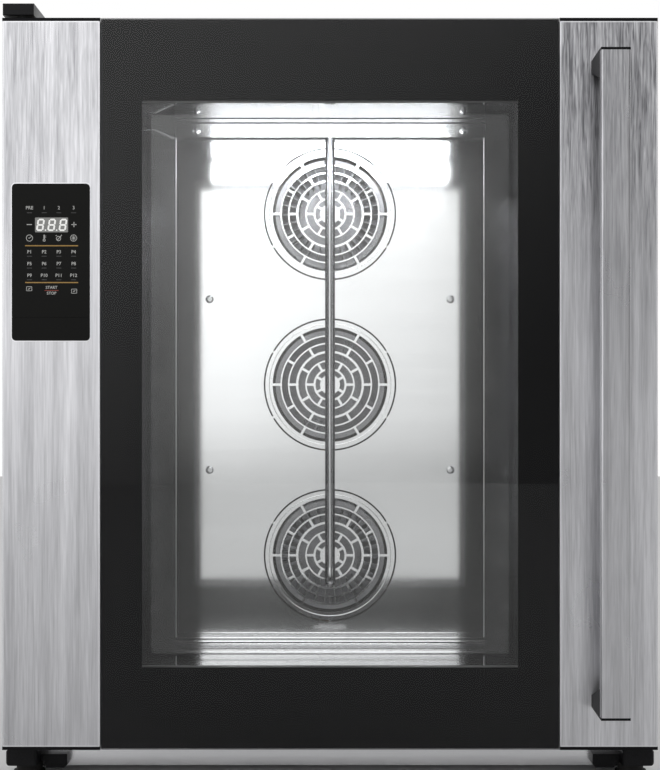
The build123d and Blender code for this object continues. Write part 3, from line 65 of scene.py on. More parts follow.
# %% [markdown]
# Light and finishes are trees of small nodes. Most of the trees here begin with the same few
# lines: make the material, take its main shader, and wire values into it. A few short helpers
# keep each tree readable, so that a cell holds only what is special to its metal or plastic.
# %% Helpers that wire a tree
def new_finish(name, **values):
    """A material with its main shader; values are plain numbers on the shader's sockets."""
    material = bpy.data.materials.new(name)
    material.use_nodes = True
    shader = material.node_tree.nodes["Principled BSDF"]
    for socket, value in values.items():
        shader.inputs[socket.replace("_", " ")].default_value = value
    return material, shader


def add_node(tree, kind, **values):
    """A node of that kind with plain numbers on its sockets or settings."""
    node = tree.nodes.new(kind)
    for key, value in values.items():
        if hasattr(node, key):
            setattr(node, key, value)
        else:
            node.inputs[key.replace("_", " ")].default_value = value
    return node


def wire(tree, start, end):
    """Links one socket to another."""
    tree.links.new(start, end)


def maths(tree, operation, *terms):
    """A number worked out from sockets and plain numbers."""
    node = add_node(tree, "ShaderNodeMath", operation=operation)
    for socket, term in zip(node.inputs, terms):
        if isinstance(term, float):
            socket.default_value = term
        else:
            wire(tree, term, socket)
    return node.outputs[0]


def spread(tree, value, low, high, start, end, kind="LINEAR"):
    """The value moved from one band of numbers to another."""
    ramp = add_node(tree, "ShaderNodeMapRange", interpolation_type=kind, From_Min=low,
                    From_Max=high, To_Min=start, To_Max=end)
    wire(tree, value, ramp.inputs["Value"])
    return ramp.outputs["Result"]


def place_of(tree):
    """Object coordinates: the place on the oven in metres, the same in every pose."""
    return add_node(tree, "ShaderNodeTexCoord").outputs["Object"]


def axes_of(tree):
    """The same place as three numbers: across, back and up."""
    axes = tree.nodes.new("ShaderNodeSeparateXYZ")
    wire(tree, place_of(tree), axes.inputs["Vector"])
    return [axes.outputs[name] for name in "XYZ"]


def blend(tree, factor, first, second):
    """A colour between two others, each of them a socket or three plain numbers."""
    mix = add_node(tree, "ShaderNodeMix", data_type="RGBA")
    wire(tree, factor, mix.inputs["Factor"])
    for name, colour in (("A", first), ("B", second)):
        if isinstance(colour, (tuple, list)):
            mix.inputs[name].default_value = (*colour, 1.0)
        else:
            wire(tree, colour, mix.inputs[name])
    return mix.outputs["Result"]


print("render engine that reads these trees:", bpy.context.scene.render.engine)

# %% [markdown]
# Steel has hardly a colour of its own. It shows the room, so the room is most of the material.
# This studio is white behind the oven and bright on its upper left, and it grows darker to the
# lower right behind the camera. The black glass and the brushed columns both show that slope. A
# pale panel hangs round the camera, and the bright guard in front of the fans mirrors it.
# Light Path keeps the white for what is seen or mirrored, while dull surfaces get a plain level.
# %% Sky that slopes from bright upper left to dim lower right
scene = bpy.context.scene
scene.view_settings.view_transform = "Standard"
SKY_LEVEL = 0.62
SKY_DIM = 0.32
SKY_BRIGHT = 1.85
SKY_BAND = (-0.08, 0.28)
PANEL_GLOW = 0.50
PANEL_SIDE = (0.075, 0.10)
PANEL_FOOT = (-0.07, -0.01)
PANEL_HEAD = (0.10, 0.14)


def build_sky():
    """White behind the oven, a soft slope in front of it, a plain level for dull surfaces."""
    sky = bpy.data.worlds.new("studio_sky")
    sky.use_nodes = True
    tree = sky.node_tree
    compass = tree.nodes.new("ShaderNodeTexCoord").outputs["Generated"]

    def along(direction, *band):
        dot = add_node(tree, "ShaderNodeVectorMath", operation="DOT_PRODUCT")
        dot.inputs[1].default_value = direction
        wire(tree, compass, dot.inputs[0])
        return spread(tree, dot.outputs["Value"], *band, "SMOOTHSTEP")

    def swap(factor, first, second):
        mix = tree.nodes.new("ShaderNodeMix")
        for name, value in (("Factor", factor), ("A", first), ("B", second)):
            if isinstance(value, float):
                mix.inputs[name].default_value = value
            else:
                wire(tree, value, mix.inputs[name])
        return mix.outputs["Result"]

    slope = along((-0.62, 0.0, 0.78), *SKY_BAND, SKY_DIM, SKY_BRIGHT)
    sides = [along((side, 0.0, 0.0), *PANEL_SIDE, 1.0, 0.0) for side in (-1.0, 1.0)]
    foot = along((0.0, 0.0, 1.0), *PANEL_FOOT, 0.0, PANEL_GLOW)
    head = along((0.0, 0.0, 1.0), *PANEL_HEAD, 1.0, 0.0)
    panel = maths(tree, "MULTIPLY", maths(tree, "MULTIPLY", *sides),
                  maths(tree, "MULTIPLY", foot, head))
    front = maths(tree, "ADD", panel, slope)
    shown = swap(along((0.0, 1.0, 0.0), -0.30, 0.15, 0.0, 1.0), front, 1.0)
    rays = tree.nodes.new("ShaderNodeLightPath")
    mirrored = maths(tree, "MAXIMUM", rays.outputs["Is Glossy Ray"],
                     rays.outputs["Is Transmission Ray"])
    lit = swap(mirrored, SKY_LEVEL, shown)
    glow = tree.nodes["Background"]
    glow.inputs["Color"].default_value = (1.0, 1.0, 1.0, 1.0)
    wire(tree, swap(rays.outputs["Is Camera Ray"], lit, 1.0), glow.inputs["Strength"])
    return sky


scene.world = build_sky()
print("sky from", SKY_DIM, "to", SKY_BRIGHT, "and", SKY_LEVEL, "on dull surfaces")

# %% [markdown]
# Three soft lamps give the shadows and the highlights on rounded parts. They stand high and to
# the sides, outside the strip of room that the flat glass mirrors back to the camera, so no lamp
# leaves a hard-edged patch on the door.
# %% Soft lamps and the floor
def softbox(name, place, aim, size, level):
    """A rectangular lamp whose face looks as bright as level."""
    turn = (Vector(aim) - Vector(place)).to_track_quat("-Z", "Y").to_euler()
    bpy.ops.object.light_add(type="AREA", location=place, rotation=turn)
    lamp = bpy.context.object
    lamp.name = name
    lamp.data.shape = "RECTANGLE"
    lamp.data.size, lamp.data.size_y = size
    lamp.data.energy = level * 3.14159 * size[0] * size[1]
    return lamp


softbox("lamp_front_left", (-3.0, -3.6, 2.6), (-0.2, 0.0, 0.5), (2.2, 2.0), 0.5)
softbox("lamp_front_right", (2.9, -3.2, 2.4), (0.2, 0.0, 0.5), (1.0, 1.8), 1.2)
softbox("lamp_above", (0.0, 0.6, 3.2), (0.0, 0.0, 0.9), (2.4, 2.4), 0.7)


def clean_start():
    """Nothing selected, in object mode, so that an operator meets only what follows."""
    if bpy.context.object and bpy.context.object.mode != "OBJECT":
        bpy.ops.object.mode_set(mode="OBJECT")
    bpy.ops.object.select_all(action="DESELECT")


def take(piece):
    """Only this piece is selected, and it is the active one."""
    clean_start()
    piece.select_set(True)
    bpy.context.view_layer.objects.active = piece


def settle(piece):
    """The piece's place goes into its mesh and its object back to the origin."""
    take(piece)
    bpy.ops.object.transform_apply(location=True, rotation=True, scale=True)
    return piece


def lay_floor():
    """A wide pale floor with a faint mottle."""
    clean_start()
    bpy.ops.mesh.primitive_plane_add(size=14.0, location=(0, 0, 0))
    ground = settle(bpy.context.object)
    ground.name = "floor"
    material, shader = new_finish("pale_floor", Roughness=0.8)
    tree = material.node_tree
    mottle = add_node(tree, "ShaderNodeTexNoise", Scale=3.0)
    wire(tree, place_of(tree), mottle.inputs["Vector"])
    wire(tree, spread(tree, mottle.outputs["Fac"], 0.0, 1.0, 0.76, 0.80),
         shader.inputs["Base Color"])
    ground.data.materials.append(material)
    return ground


floor = lay_floor()

# %% [markdown]
# Brushed steel is covered in fine scratches that all run one way. Under a lamp they break its
# reflection into long streaks. Noise stretched along the grain gives both the scratches, as a
# height for the bump, and the slow change of tone from one band of scratches to the next. Every
# steel finish needs it, each with another direction and size, so it is a group: it takes a place
# and a stretch, and gives back a tone and a height.
# %% Group: grain of rolled and brushed steel
SCRATCH_SHARE = 0.45


def build_grain():
    """Fine scratches and slow streaks from a stretched place."""
    tree = bpy.data.node_groups.new("steel_grain", "ShaderNodeTree")
    tree.interface.new_socket("Place", in_out="INPUT", socket_type="NodeSocketVector")
    tree.interface.new_socket("Stretch", in_out="INPUT", socket_type="NodeSocketVector")
    tree.interface.new_socket("Tone", in_out="OUTPUT", socket_type="NodeSocketFloat")
    tree.interface.new_socket("Height", in_out="OUTPUT", socket_type="NodeSocketFloat")
    entry = tree.nodes.new("NodeGroupInput")
    leave = tree.nodes.new("NodeGroupOutput")
    stretched = add_node(tree, "ShaderNodeVectorMath", operation="MULTIPLY")
    wire(tree, entry.outputs["Place"], stretched.inputs[0])
    wire(tree, entry.outputs["Stretch"], stretched.inputs[1])
    fine = add_node(tree, "ShaderNodeTexNoise", Scale=1.0, Detail=3.0, Roughness=0.6)
    slow = add_node(tree, "ShaderNodeTexNoise", Scale=0.16, Detail=2.0, Distortion=0.5)
    for noise in (fine, slow):
        wire(tree, stretched.outputs[0], noise.inputs["Vector"])
    streaks = maths(tree, "MULTIPLY", slow.outputs["Fac"], 1.0 - SCRATCH_SHARE)
    tone = maths(tree, "MULTIPLY_ADD", fine.outputs["Fac"], SCRATCH_SHARE, streaks)
    wire(tree, tone, leave.inputs["Tone"])
    wire(tree, fine.outputs["Fac"], leave.inputs["Height"])
    return tree


GRAIN = build_grain()


def use_grain(tree, stretch):
    """The grain group placed in a material, stretched per metre along each axis."""
    grain = tree.nodes.new("ShaderNodeGroup")
    grain.node_tree = GRAIN
    wire(tree, place_of(tree), grain.inputs["Place"])
    grain.inputs["Stretch"].default_value = stretch
    return grain


print("grain group with", len(GRAIN.nodes), "nodes")

# %% [markdown]
# Hands and steam leave a thin uneven film on metal and glass. It shows as patches that are a
# little duller than the rest. Broad soft noise, squeezed to a narrow band of values, drives the
# roughness of nearly every finish here, so it is a group as well.
# %% Group: film of use
def build_film():
    """Slow patches between a low and a high value."""
    tree = bpy.data.node_groups.new("film_of_use", "ShaderNodeTree")
    tree.interface.new_socket("Place", in_out="INPUT", socket_type="NodeSocketVector")
    for name in ("Size", "Low", "High"):
        tree.interface.new_socket(name, in_out="INPUT", socket_type="NodeSocketFloat")
    tree.interface.new_socket("Value", in_out="OUTPUT", socket_type="NodeSocketFloat")
    entry = tree.nodes.new("NodeGroupInput")
    leave = tree.nodes.new("NodeGroupOutput")
    patches = add_node(tree, "ShaderNodeTexNoise", Detail=4.0, Roughness=0.55)
    band = add_node(tree, "ShaderNodeMapRange", From_Min=0.35, From_Max=0.65)
    for name, socket in (("Place", patches.inputs["Vector"]), ("Size", patches.inputs["Scale"]),
                         ("Low", band.inputs["To Min"]), ("High", band.inputs["To Max"])):
        wire(tree, entry.outputs[name], socket)
    wire(tree, patches.outputs["Fac"], band.inputs["Value"])
    wire(tree, band.outputs["Result"], leave.inputs["Value"])
    return tree


FILM = build_film()


def dull_by(tree, shader, size, low, high):
    """Roughness from the film group, with so many patches to a metre."""
    film = tree.nodes.new("ShaderNodeGroup")
    film.node_tree = FILM
    wire(tree, place_of(tree), film.inputs["Place"])
    for name, value in (("Size", size), ("Low", low), ("High", high)):
        film.inputs[name].default_value = value
    wire(tree, film.outputs["Value"], shader.inputs["Roughness"])


def tint(tree, shader, factor, dark, light, start=0.3):
    """Base colour that runs from dark at a factor of start to light at 0.7."""
    share = spread(tree, factor, start, 0.7, 0.0, 1.0)
    wire(tree, blend(tree, share, dark, light), shader.inputs["Base Color"])


def raise_by(tree, shader, height, depth):
    """Bump of that depth in metres from a height between 0 and 1."""
    bump = add_node(tree, "ShaderNodeBump", Strength=1.0, Distance=depth)
    wire(tree, height, bump.inputs["Height"])
    wire(tree, bump.outputs["Normal"], shader.inputs["Normal"])


print("film group with", len(FILM.nodes), "nodes")

# %% [markdown]
# Every stainless sheet of the oven is the same metal in another finish: level grain on the
# casing, a nearly bright rolled face inside, turned marks on the shafts. One function makes them
# all from the stretch of the grain, two tones, a dullness and the depth of the scratches. Brass
# is made by the same function, with its own two colours.
# %% Finishes of the steel sheets
def steel_finish(name, stretch, dark, light, dull, depth, turned=0.0):
    """Metal with grain; dull is the roughness at its smoothest and its dullest."""
    material, shader = new_finish(name, Metallic=1.0)
    tree = material.node_tree
    grain = use_grain(tree, stretch)
    tint(tree, shader, grain.outputs["Tone"], dark, light)
    dull_by(tree, shader, 9.0, *dull)
    raise_by(tree, shader, grain.outputs["Height"], depth)
    if turned:
        shader.inputs["Anisotropic"].default_value = turned
    return material


def grey(level, cool=0.01):
    """A grey with a little more blue in it."""
    return (level, level, level + cool)


STEELS = {
    "casing_steel": ((14, 600, 600), grey(0.45), grey(0.54), (0.30, 0.40), 0.00001),
    "cavity_steel": ((300, 300, 10), grey(0.62), grey(0.68), (0.11, 0.16), 0.000002),
    # fan_steel is darker than the other steels: painted shade on the fans behind the guard.
    "fan_steel": ((200, 200, 200), grey(0.24), grey(0.33), (0.26, 0.34), 0.00001),
    "turned_steel": ((60, 900, 60), grey(0.42), grey(0.52), (0.22, 0.30), 0.00001),
    "fastener_steel": ((400, 400, 400), grey(0.52), grey(0.62), (0.16, 0.26), 0.00001),
    "tube_steel": ((500, 500, 12), grey(0.52), grey(0.60), (0.12, 0.20), 0.000005),
    "pipe_metal": ((300, 300, 20), grey(0.44), grey(0.54), (0.24, 0.34), 0.00001),
    "rack_wire": ((120, 120, 120), grey(0.56), grey(0.64), (0.14, 0.22), 0.000005),
    "valve_brass": ((160, 160, 160), (0.50, 0.34, 0.13), (0.62, 0.44, 0.19), (0.30, 0.42),
                    0.00004),
}
finishes = {name: steel_finish(name, *values) for name, values in STEELS.items()}
print("steel finishes:", ", ".join(sorted(finishes)))

# %% [markdown]
# The two door columns and the bar are the same brushed sheet, but the eye sees them differently.
# Fine wavy streaks lie on it with a strength that rises with the height above the floor and is
# two and a half times as large on the right. Their middle sits above the noise's mean, so they
# also paint shade: the top is darker and the bottom lighter, the right side more than the left.
# %% Finish of the door columns and the bar
STREAK_STRETCH = (430.0, 430.0, 24.0)
STREAK_AND_SHADE_MIDDLE = 0.72
STREAK_AND_SHADE_HEIGHTS = (0.38, 0.97)
LEFT_STREAK_AND_SHADE_SHARE = 0.4


def brushed_and_shaded_finish(name, dark, light, strength):
    """Upright grain with wavy streaks and painted shade, strongest at the top of the right side.
    """
    material, shader = new_finish(name, Metallic=1.0, Anisotropic=0.55)
    tree = material.node_tree
    grain = use_grain(tree, (560, 560, 16))
    stretched = add_node(tree, "ShaderNodeMapping", Scale=STREAK_STRETCH)
    wavy = add_node(tree, "ShaderNodeTexNoise", Scale=1.0, Detail=2.5, Roughness=0.6,
                    Distortion=0.4)
    wire(tree, place_of(tree), stretched.inputs["Vector"])
    wire(tree, stretched.outputs[0], wavy.inputs["Vector"])
    across, _, up = axes_of(tree)
    height = spread(tree, up, *STREAK_AND_SHADE_HEIGHTS, -0.3, strength, "SMOOTHSTEP")
    side = spread(tree, across, -0.1, 0.1, LEFT_STREAK_AND_SHADE_SHARE, 1.0)
    streak_and_shade_power = maths(tree, "MULTIPLY", height, side)
    # Middle above the noise's mean: the streaks also paint shade, darker at top, lighter below.
    shaded_waves = maths(tree, "SUBTRACT", wavy.outputs["Fac"], STREAK_AND_SHADE_MIDDLE)
    streaks = maths(tree, "MULTIPLY_ADD", shaded_waves, streak_and_shade_power, grain.outputs["Tone"])
    tint(tree, shader, streaks, dark, light, 0.0)
    dull_by(tree, shader, 9.0, 0.27, 0.33)
    raise_by(tree, shader, streaks, 0.00003)
    return material


finishes["column_steel"] = brushed_and_shaded_finish("column_steel", (0.15, 0.15, 0.16),
                                          (0.71, 0.71, 0.735), 1.5)
finishes["handle_steel"] = brushed_and_shaded_finish("handle_steel", (0.17, 0.17, 0.18),
                                          (0.57, 0.57, 0.59), 1.1)
print("streaks between heights of", *STREAK_AND_SHADE_HEIGHTS, "m")

# %% [markdown]
# The guard in front of the fans is rolled sheet. It does two things at once. It mirrors the
# window opposite, so the edges of the window show as crisp lines in it. And the fine rolling
# marks, which run from side to side, smear every bright spot upwards and downwards, so the low
# lamp of the door lights up the guard's whole height. Two metals in one mix give both.
# %% Finish of the guard and its rail
ACROSS = 0.25


def guard_finish(name, share, dull):
    """A mirror and an upright smear, mixed; share and dull are those of the smear."""
    material = steel_finish(name, (10, 300, 300), grey(0.88), grey(0.92), (0.065, 0.08),
                            0.0000004, 0.3)
    tree = material.node_tree
    mirror = tree.nodes["Principled BSDF"]
    mirror.inputs["Anisotropic Rotation"].default_value = ACROSS
    smear = add_node(tree, "ShaderNodeBsdfPrincipled", Metallic=1.0, Anisotropic=1.0,
                     Anisotropic_Rotation=ACROSS, Base_Color=(0.86, 0.86, 0.87, 1.0))
    dull_by(tree, smear, 9.0, *dull)
    mix = add_node(tree, "ShaderNodeMixShader", Fac=share)
    wire(tree, mirror.outputs["BSDF"], mix.inputs[1])
    wire(tree, smear.outputs["BSDF"], mix.inputs[2])
    wire(tree, mix.outputs["Shader"], tree.nodes["Material Output"].inputs["Surface"])
    return material


GUARD_STEEL = guard_finish("guard_steel", 0.12, (0.13, 0.16))
RAIL_STEEL = guard_finish("rail_steel", 0.60, (0.20, 0.24))
print("smeared finishes:", GUARD_STEEL.name, "and", RAIL_STEEL.name)

# %% [markdown]
# The black parts differ in how they were made. The hinge blocks are castings under a glossy
# paint, with a faint orange peel; the caps and the gland are moulded plastic with a fine grain;
# the door frame is sheet under matt paint; seals and feet are rubber with dust in their pores.
# One function covers them, with the size and depth of the texture and a clear coat where there
# is one. It also makes the green board and the pale nylon.
# %% Finishes of paint, plastic and rubber
def moulded_finish(name, dark, light, dull, pore, depth, shine=0.2, coat=0.0):
    """Paint, plastic or rubber; pore is how many grains there are to a metre."""
    material, shader = new_finish(name, Coat_Weight=coat, Coat_Roughness=0.12)
    shader.inputs["Specular IOR Level"].default_value = shine
    tree = material.node_tree
    pores = add_node(tree, "ShaderNodeTexNoise", Scale=pore, Detail=2.0, Roughness=0.5)
    wire(tree, place_of(tree), pores.inputs["Vector"])
    tint(tree, shader, pores.outputs["Fac"], dark, light)
    dull_by(tree, shader, 14.0, *dull)
    raise_by(tree, shader, pores.outputs["Fac"], depth)
    return material


MOULDED = {
    "black_iron": (grey(0.007, 0.001), grey(0.013, 0.001), (0.30, 0.42), 700, 0.00003, 0.08, 0.06),
    "black_plastic": (grey(0.004, 0.001), grey(0.008, 0.001), (0.38, 0.50), 1600, 0.00002, 0.08),
    "frame_steel": (grey(0.012, 0.001), grey(0.018, 0.001), (0.42, 0.52), 900, 0.00002),
    "silicone": (grey(0.008, 0.001), grey(0.016, 0.001), (0.50, 0.62), 800, 0.00002),
    "rubber_foot": ((0.008, 0.008, 0.008), (0.020, 0.019, 0.018), (0.55, 0.70), 900, 0.00005),
    "motor_paint": ((0.030, 0.032, 0.038), (0.045, 0.047, 0.053), (0.36, 0.48), 500, 0.00004),
    "bush_nylon": ((0.66, 0.64, 0.58), (0.74, 0.72, 0.66), (0.36, 0.46), 600, 0.00001),
    "wool": ((0.42, 0.37, 0.22), (0.66, 0.60, 0.42), (0.90, 0.98), 260, 0.0008),
    "circuit_board": ((0.010, 0.060, 0.028), (0.020, 0.105, 0.050), (0.30, 0.42), 320, 0.00004),
    "panel_gloss": ((0.0030, 0.0030, 0.0026), (0.0040, 0.0040, 0.0034), (0.26, 0.34), 400,
                    0.000004, 0.10),
}
finishes |= {name: moulded_finish(name, *values) for name, values in MOULDED.items()}
print(len(finishes), "finishes so far")

# %% [markdown]
# Galvanised sheet shows its zinc as flat crystals a centimetre or so across, each a little
# lighter or darker than the next. Cells of a Voronoi texture are exactly that. The heating tubes
# were bright once; heat has turned them straw, brown and blue in soft bands along the tube.
# %% Galvanised sheet and heat-stained tube
def galvanised_finish():
    """Zinc crystals on a dull metal."""
    material, shader = new_finish("galvanised", Metallic=1.0, Roughness=0.45)
    tree = material.node_tree
    crystals = add_node(tree, "ShaderNodeTexVoronoi", Scale=110.0)
    grey = add_node(tree, "ShaderNodeSeparateColor")
    wire(tree, place_of(tree), crystals.inputs["Vector"])
    wire(tree, crystals.outputs["Color"], grey.inputs["Color"])
    tint(tree, shader, grey.outputs["Red"], (0.34, 0.35, 0.36), (0.50, 0.51, 0.52))
    dull_by(tree, shader, 20.0, 0.38, 0.52)
    return material


def stained_finish():
    """Tube with the colours that heat leaves on it."""
    material, shader = new_finish("heater_metal", Metallic=1.0)
    tree = material.node_tree
    bands = add_node(tree, "ShaderNodeTexNoise", Scale=26.0, Detail=3.0)
    colours = add_node(tree, "ShaderNodeValToRGB")
    ramp = colours.color_ramp
    ramp.elements[0].position, ramp.elements[0].color = 0.34, (0.17, 0.15, 0.16, 1)
    ramp.elements[1].position, ramp.elements[1].color = 0.66, (0.40, 0.33, 0.25, 1)
    ramp.elements.new(0.5).color = (0.27, 0.22, 0.17, 1)
    wire(tree, place_of(tree), bands.inputs["Vector"])
    wire(tree, bands.outputs["Fac"], colours.inputs["Fac"])
    wire(tree, colours.outputs["Color"], shader.inputs["Base Color"])
    dull_by(tree, shader, 30.0, 0.30, 0.46)
    return material


finishes["galvanised"] = galvanised_finish()
finishes["heater_metal"] = stained_finish()
print(len(finishes), "finishes so far")

# %% [markdown]
# The door has two panes. Real glass bends light, and a renderer that has to find a lamp through
# four bent surfaces leaves the cavity full of noise. So the pane is glass for every ray that is
# seen, and simply open for the rays that only ask whether a lamp shines there.
# %% Finish of the panes
def glass_finish(name, colour, haze):
    """Clear glass with a faint film; lamps shine through it unbent."""
    material, shader = new_finish(name, Transmission_Weight=1.0, IOR=1.35)
    shader.inputs["Base Color"].default_value = (*colour, 1.0)
    tree = material.node_tree
    dull_by(tree, shader, 6.0, 0.0, haze)
    asks = tree.nodes.new("ShaderNodeLightPath")
    clear = tree.nodes.new("ShaderNodeBsdfTransparent")
    clear.inputs["Color"].default_value = (*colour, 1.0)
    mix = tree.nodes.new("ShaderNodeMixShader")
    out = tree.nodes["Material Output"]
    wire(tree, asks.outputs["Is Shadow Ray"], mix.inputs["Fac"])
    wire(tree, shader.outputs["BSDF"], mix.inputs[1])
    wire(tree, clear.outputs["BSDF"], mix.inputs[2])
    wire(tree, mix.outputs["Shader"], out.inputs["Surface"])
    return material


PANE_TINT = (0.985, 0.99, 0.988)
PANE_HAZE = 0.006
finishes["dark_glass"] = glass_finish("outer_pane_glass", PANE_TINT, PANE_HAZE)
finishes["clear_glass"] = glass_finish("inner_pane_glass", PANE_TINT, PANE_HAZE)
print("panes let through", PANE_TINT)

# %% [markdown]
# The lamp behind the upper border is a milky cover over a row of diodes. Only the side that
# faces the cavity glows: the housing that sits inside the door frame is the same moulding, but
# no light leaves it. A step on the depth of the surface tells the two apart.
# %% Finish of the cavity lamp
LAMP_FACE = DOOR_FACE + 0.0606
LAMP_GLOW = 30.0


def lamp_finish():
    """Milky plastic that glows on the face towards the cavity."""
    material, shader = new_finish("lamp_cover", Roughness=0.4, Emission_Strength=LAMP_GLOW)
    shader.inputs["Base Color"].default_value = (0.80, 0.80, 0.78, 1.0)
    tree = material.node_tree
    _, depth, _ = axes_of(tree)
    behind = maths(tree, "GREATER_THAN", depth, LAMP_FACE)
    diodes = add_node(tree, "ShaderNodeTexWave", Scale=18.0, bands_direction="X")
    wire(tree, place_of(tree), diodes.inputs["Vector"])
    glow = blend(tree, diodes.outputs["Fac"], (0.86, 0.90, 0.96), (1.0, 1.0, 1.0))
    shade = blend(tree, behind, (0.0, 0.0, 0.0), glow)
    wire(tree, shade, shader.inputs["Emission Color"])
    return material


finishes["lamp_cover"] = lamp_finish()
print(len(finishes), "finishes")

# %% [markdown]
# The imported model knows which slot each part belongs to: its record lists a finish for every
# node. So most parts are dressed in one loop from that list. Eight get a steel of their own: the
# grain of the side sheets runs from the front to the back, the guard and its rail are smeared
# mirrors, the roof and the floor of the cavity are smoother than its walls, the roof brighter
# with painted light and the floor darker, the rear wall behind the guard carries painted shade,
# and the base and the probe are brighter than other sheet: painted light on the base and
# painted glints on the probe.
# %% Dress the CAD parts
def dress(piece, material):
    """One material on the whole piece."""
    piece.data.materials.clear()
    piece.data.materials.append(material)


SHADE_HALF = (0.222, 0.238)


def shaded_rear_wall():
    """Rear wall: bright at its sides, with painted shade behind the fans' guard."""
    material = steel_finish("shaded_rear_wall", *STEELS["cavity_steel"])
    tree = material.node_tree
    shader = tree.nodes["Principled BSDF"]
    wall_colour = shader.inputs["Base Color"].links[0].from_socket
    across = maths(tree, "ABSOLUTE", axes_of(tree)[0])
    outside_shade = spread(tree, across, *SHADE_HALF, 0.0, 1.0)
    # Painted shade: behind the guard the wall's colour is darkened.
    painted_shade = blend(tree, outside_shade, (0.13, 0.12, 0.11), wall_colour)
    wire(tree, painted_shade, shader.inputs["Base Color"])
    return material


OWN_STEELS = {
    "side_panels": steel_finish("side_steel", (600, 14, 600), grey(0.45), grey(0.54),
                                (0.30, 0.40), 0.00001),
    "fan_guard": GUARD_STEEL,
    "guard_rail": RAIL_STEEL,
    "cavity_back": shaded_rear_wall(),
    # base_steel is a brighter copy of the casing steel: painted light on the base strip.
    "base_pan": steel_finish("base_steel", (14, 600, 600), grey(0.84, 0.02), grey(0.92, 0.02),
                             (0.16, 0.22), 0.000005),
    # roof_steel is a brighter copy of the cavity steel: painted light on the cavity's roof.
    "cavity_roof": steel_finish("roof_steel", (10, 300, 300), grey(0.84), grey(0.88),
                                (0.04, 0.06), 0.0000003),
    "cavity_floor": steel_finish("floor_steel", (10, 300, 300), grey(0.34), grey(0.39),
                                 (0.06, 0.09), 0.0000005),
    # probe_steel is a brighter copy of the turned steel: painted glints on the probe.
    "cavity_probe": steel_finish("probe_steel", (60, 900, 900), grey(0.80), grey(0.88),
                                 (0.06, 0.10), 0.000001),
}
NODE_SLOTS = {part["node"]: part["material_slot"] for part in frame["record"]["subparts"]}
for name, node in frame["nodes"].items():
    dress(node, OWN_STEELS.get(name) or finishes[NODE_SLOTS[name]])
print("dressed", len(NODE_SLOTS), "CAD parts,", len(OWN_STEELS), "in a steel of their own")

# %% [markdown]
# What follows is modelled here, with the same tools one uses by hand. A few moves come back in
# every piece: put a block, a sheet, a disc or a rod where it belongs, go into edit mode, pick
# faces or edges by where they are, shape them, and come out again. Each move gets a short name
# of its own, and places are given in millimetres from the door face.
# %% Moves of the modeller
MM = 0.001
DOOR = "door"
OVEN = "oven"


def at(x, deep, z):
    """A place from millimetres: across, behind the door face, above the floor."""
    return (x * MM, DOOR_FACE + deep * MM, z * MM)


def block(low, high):
    """A block between two corners."""
    clean_start()
    middle = [(a + b) / 2 for a, b in zip(low, high)]
    size = [b - a for a, b in zip(low, high)]
    bpy.ops.mesh.primitive_cube_add(size=1.0, location=middle, scale=size)
    return settle(bpy.context.object)


def sheet(left, right, low, high, deep):
    """A flat upright sheet that faces the door."""
    clean_start()
    middle = at((left + right) / 2, deep, (low + high) / 2)
    bpy.ops.mesh.primitive_plane_add(size=1.0, location=middle, rotation=(radians(90), 0, 0))
    plane = bpy.context.object
    plane.scale = ((right - left) * MM, (high - low) * MM, 1)
    return settle(plane)


def disc(place, radius, corners):
    """A flat upright disc that faces the door."""
    clean_start()
    bpy.ops.mesh.primitive_circle_add(vertices=corners, radius=radius * MM, fill_type="NGON",
                                      location=place, rotation=(radians(90), 0, 0))
    return settle(bpy.context.object)


def rod(place, radius, length, corners, tilt=90):
    """A rod about its middle, lying from front to back or, without tilt, standing."""
    clean_start()
    bpy.ops.mesh.primitive_cylinder_add(vertices=corners, radius=radius * MM,
                                        depth=length * MM, location=place,
                                        rotation=(radians(tilt), 0, 0))
    return settle(bpy.context.object)


def shape(piece):
    """Into edit mode with everything selected."""
    take(piece)
    bpy.ops.object.mode_set(mode="EDIT")
    bpy.ops.mesh.select_mode(type="VERT")
    bpy.ops.mesh.select_all(action="SELECT")


def pick(piece, kind, wanted):
    """Selects only the faces or edges for which wanted is true."""
    bpy.ops.mesh.select_mode(type="FACE" if kind == "faces" else "EDGE")
    bpy.ops.mesh.select_all(action="DESELECT")
    bpy.ops.object.mode_set(mode="OBJECT")
    mesh = piece.data
    if kind == "faces":
        for face in mesh.polygons:
            face.select = wanted(face.center, face.normal)
    else:
        for edge in mesh.edges:
            start, end = [mesh.vertices[i].co for i in edge.vertices]
            edge.select = wanted((start + end) / 2, end - start)
    bpy.ops.object.mode_set(mode="EDIT")


def soften(piece, wanted, offset, steps):
    """Bevels the edges for which wanted is true."""
    shape(piece)
    pick(piece, "edges", wanted)
    bpy.ops.mesh.bevel(offset=offset * MM, segments=steps)
    bpy.ops.object.mode_set(mode="OBJECT")
    return piece


def thicken(depth):
    """Draws the flat piece in edit mode out backwards, and leaves edit mode."""
    bpy.ops.mesh.select_all(action="SELECT")
    bpy.ops.mesh.extrude_region_move(TRANSFORM_OT_translate={"value": (0, depth * MM, 0)})
    bpy.ops.object.mode_set(mode="OBJECT")


def hollow(line, depth):
    """Leaves the rim of the flat piece in edit mode, line wide, and thickens it."""
    bpy.ops.mesh.inset(thickness=line * MM)
    bpy.ops.mesh.delete(type="FACE")
    thicken(depth)


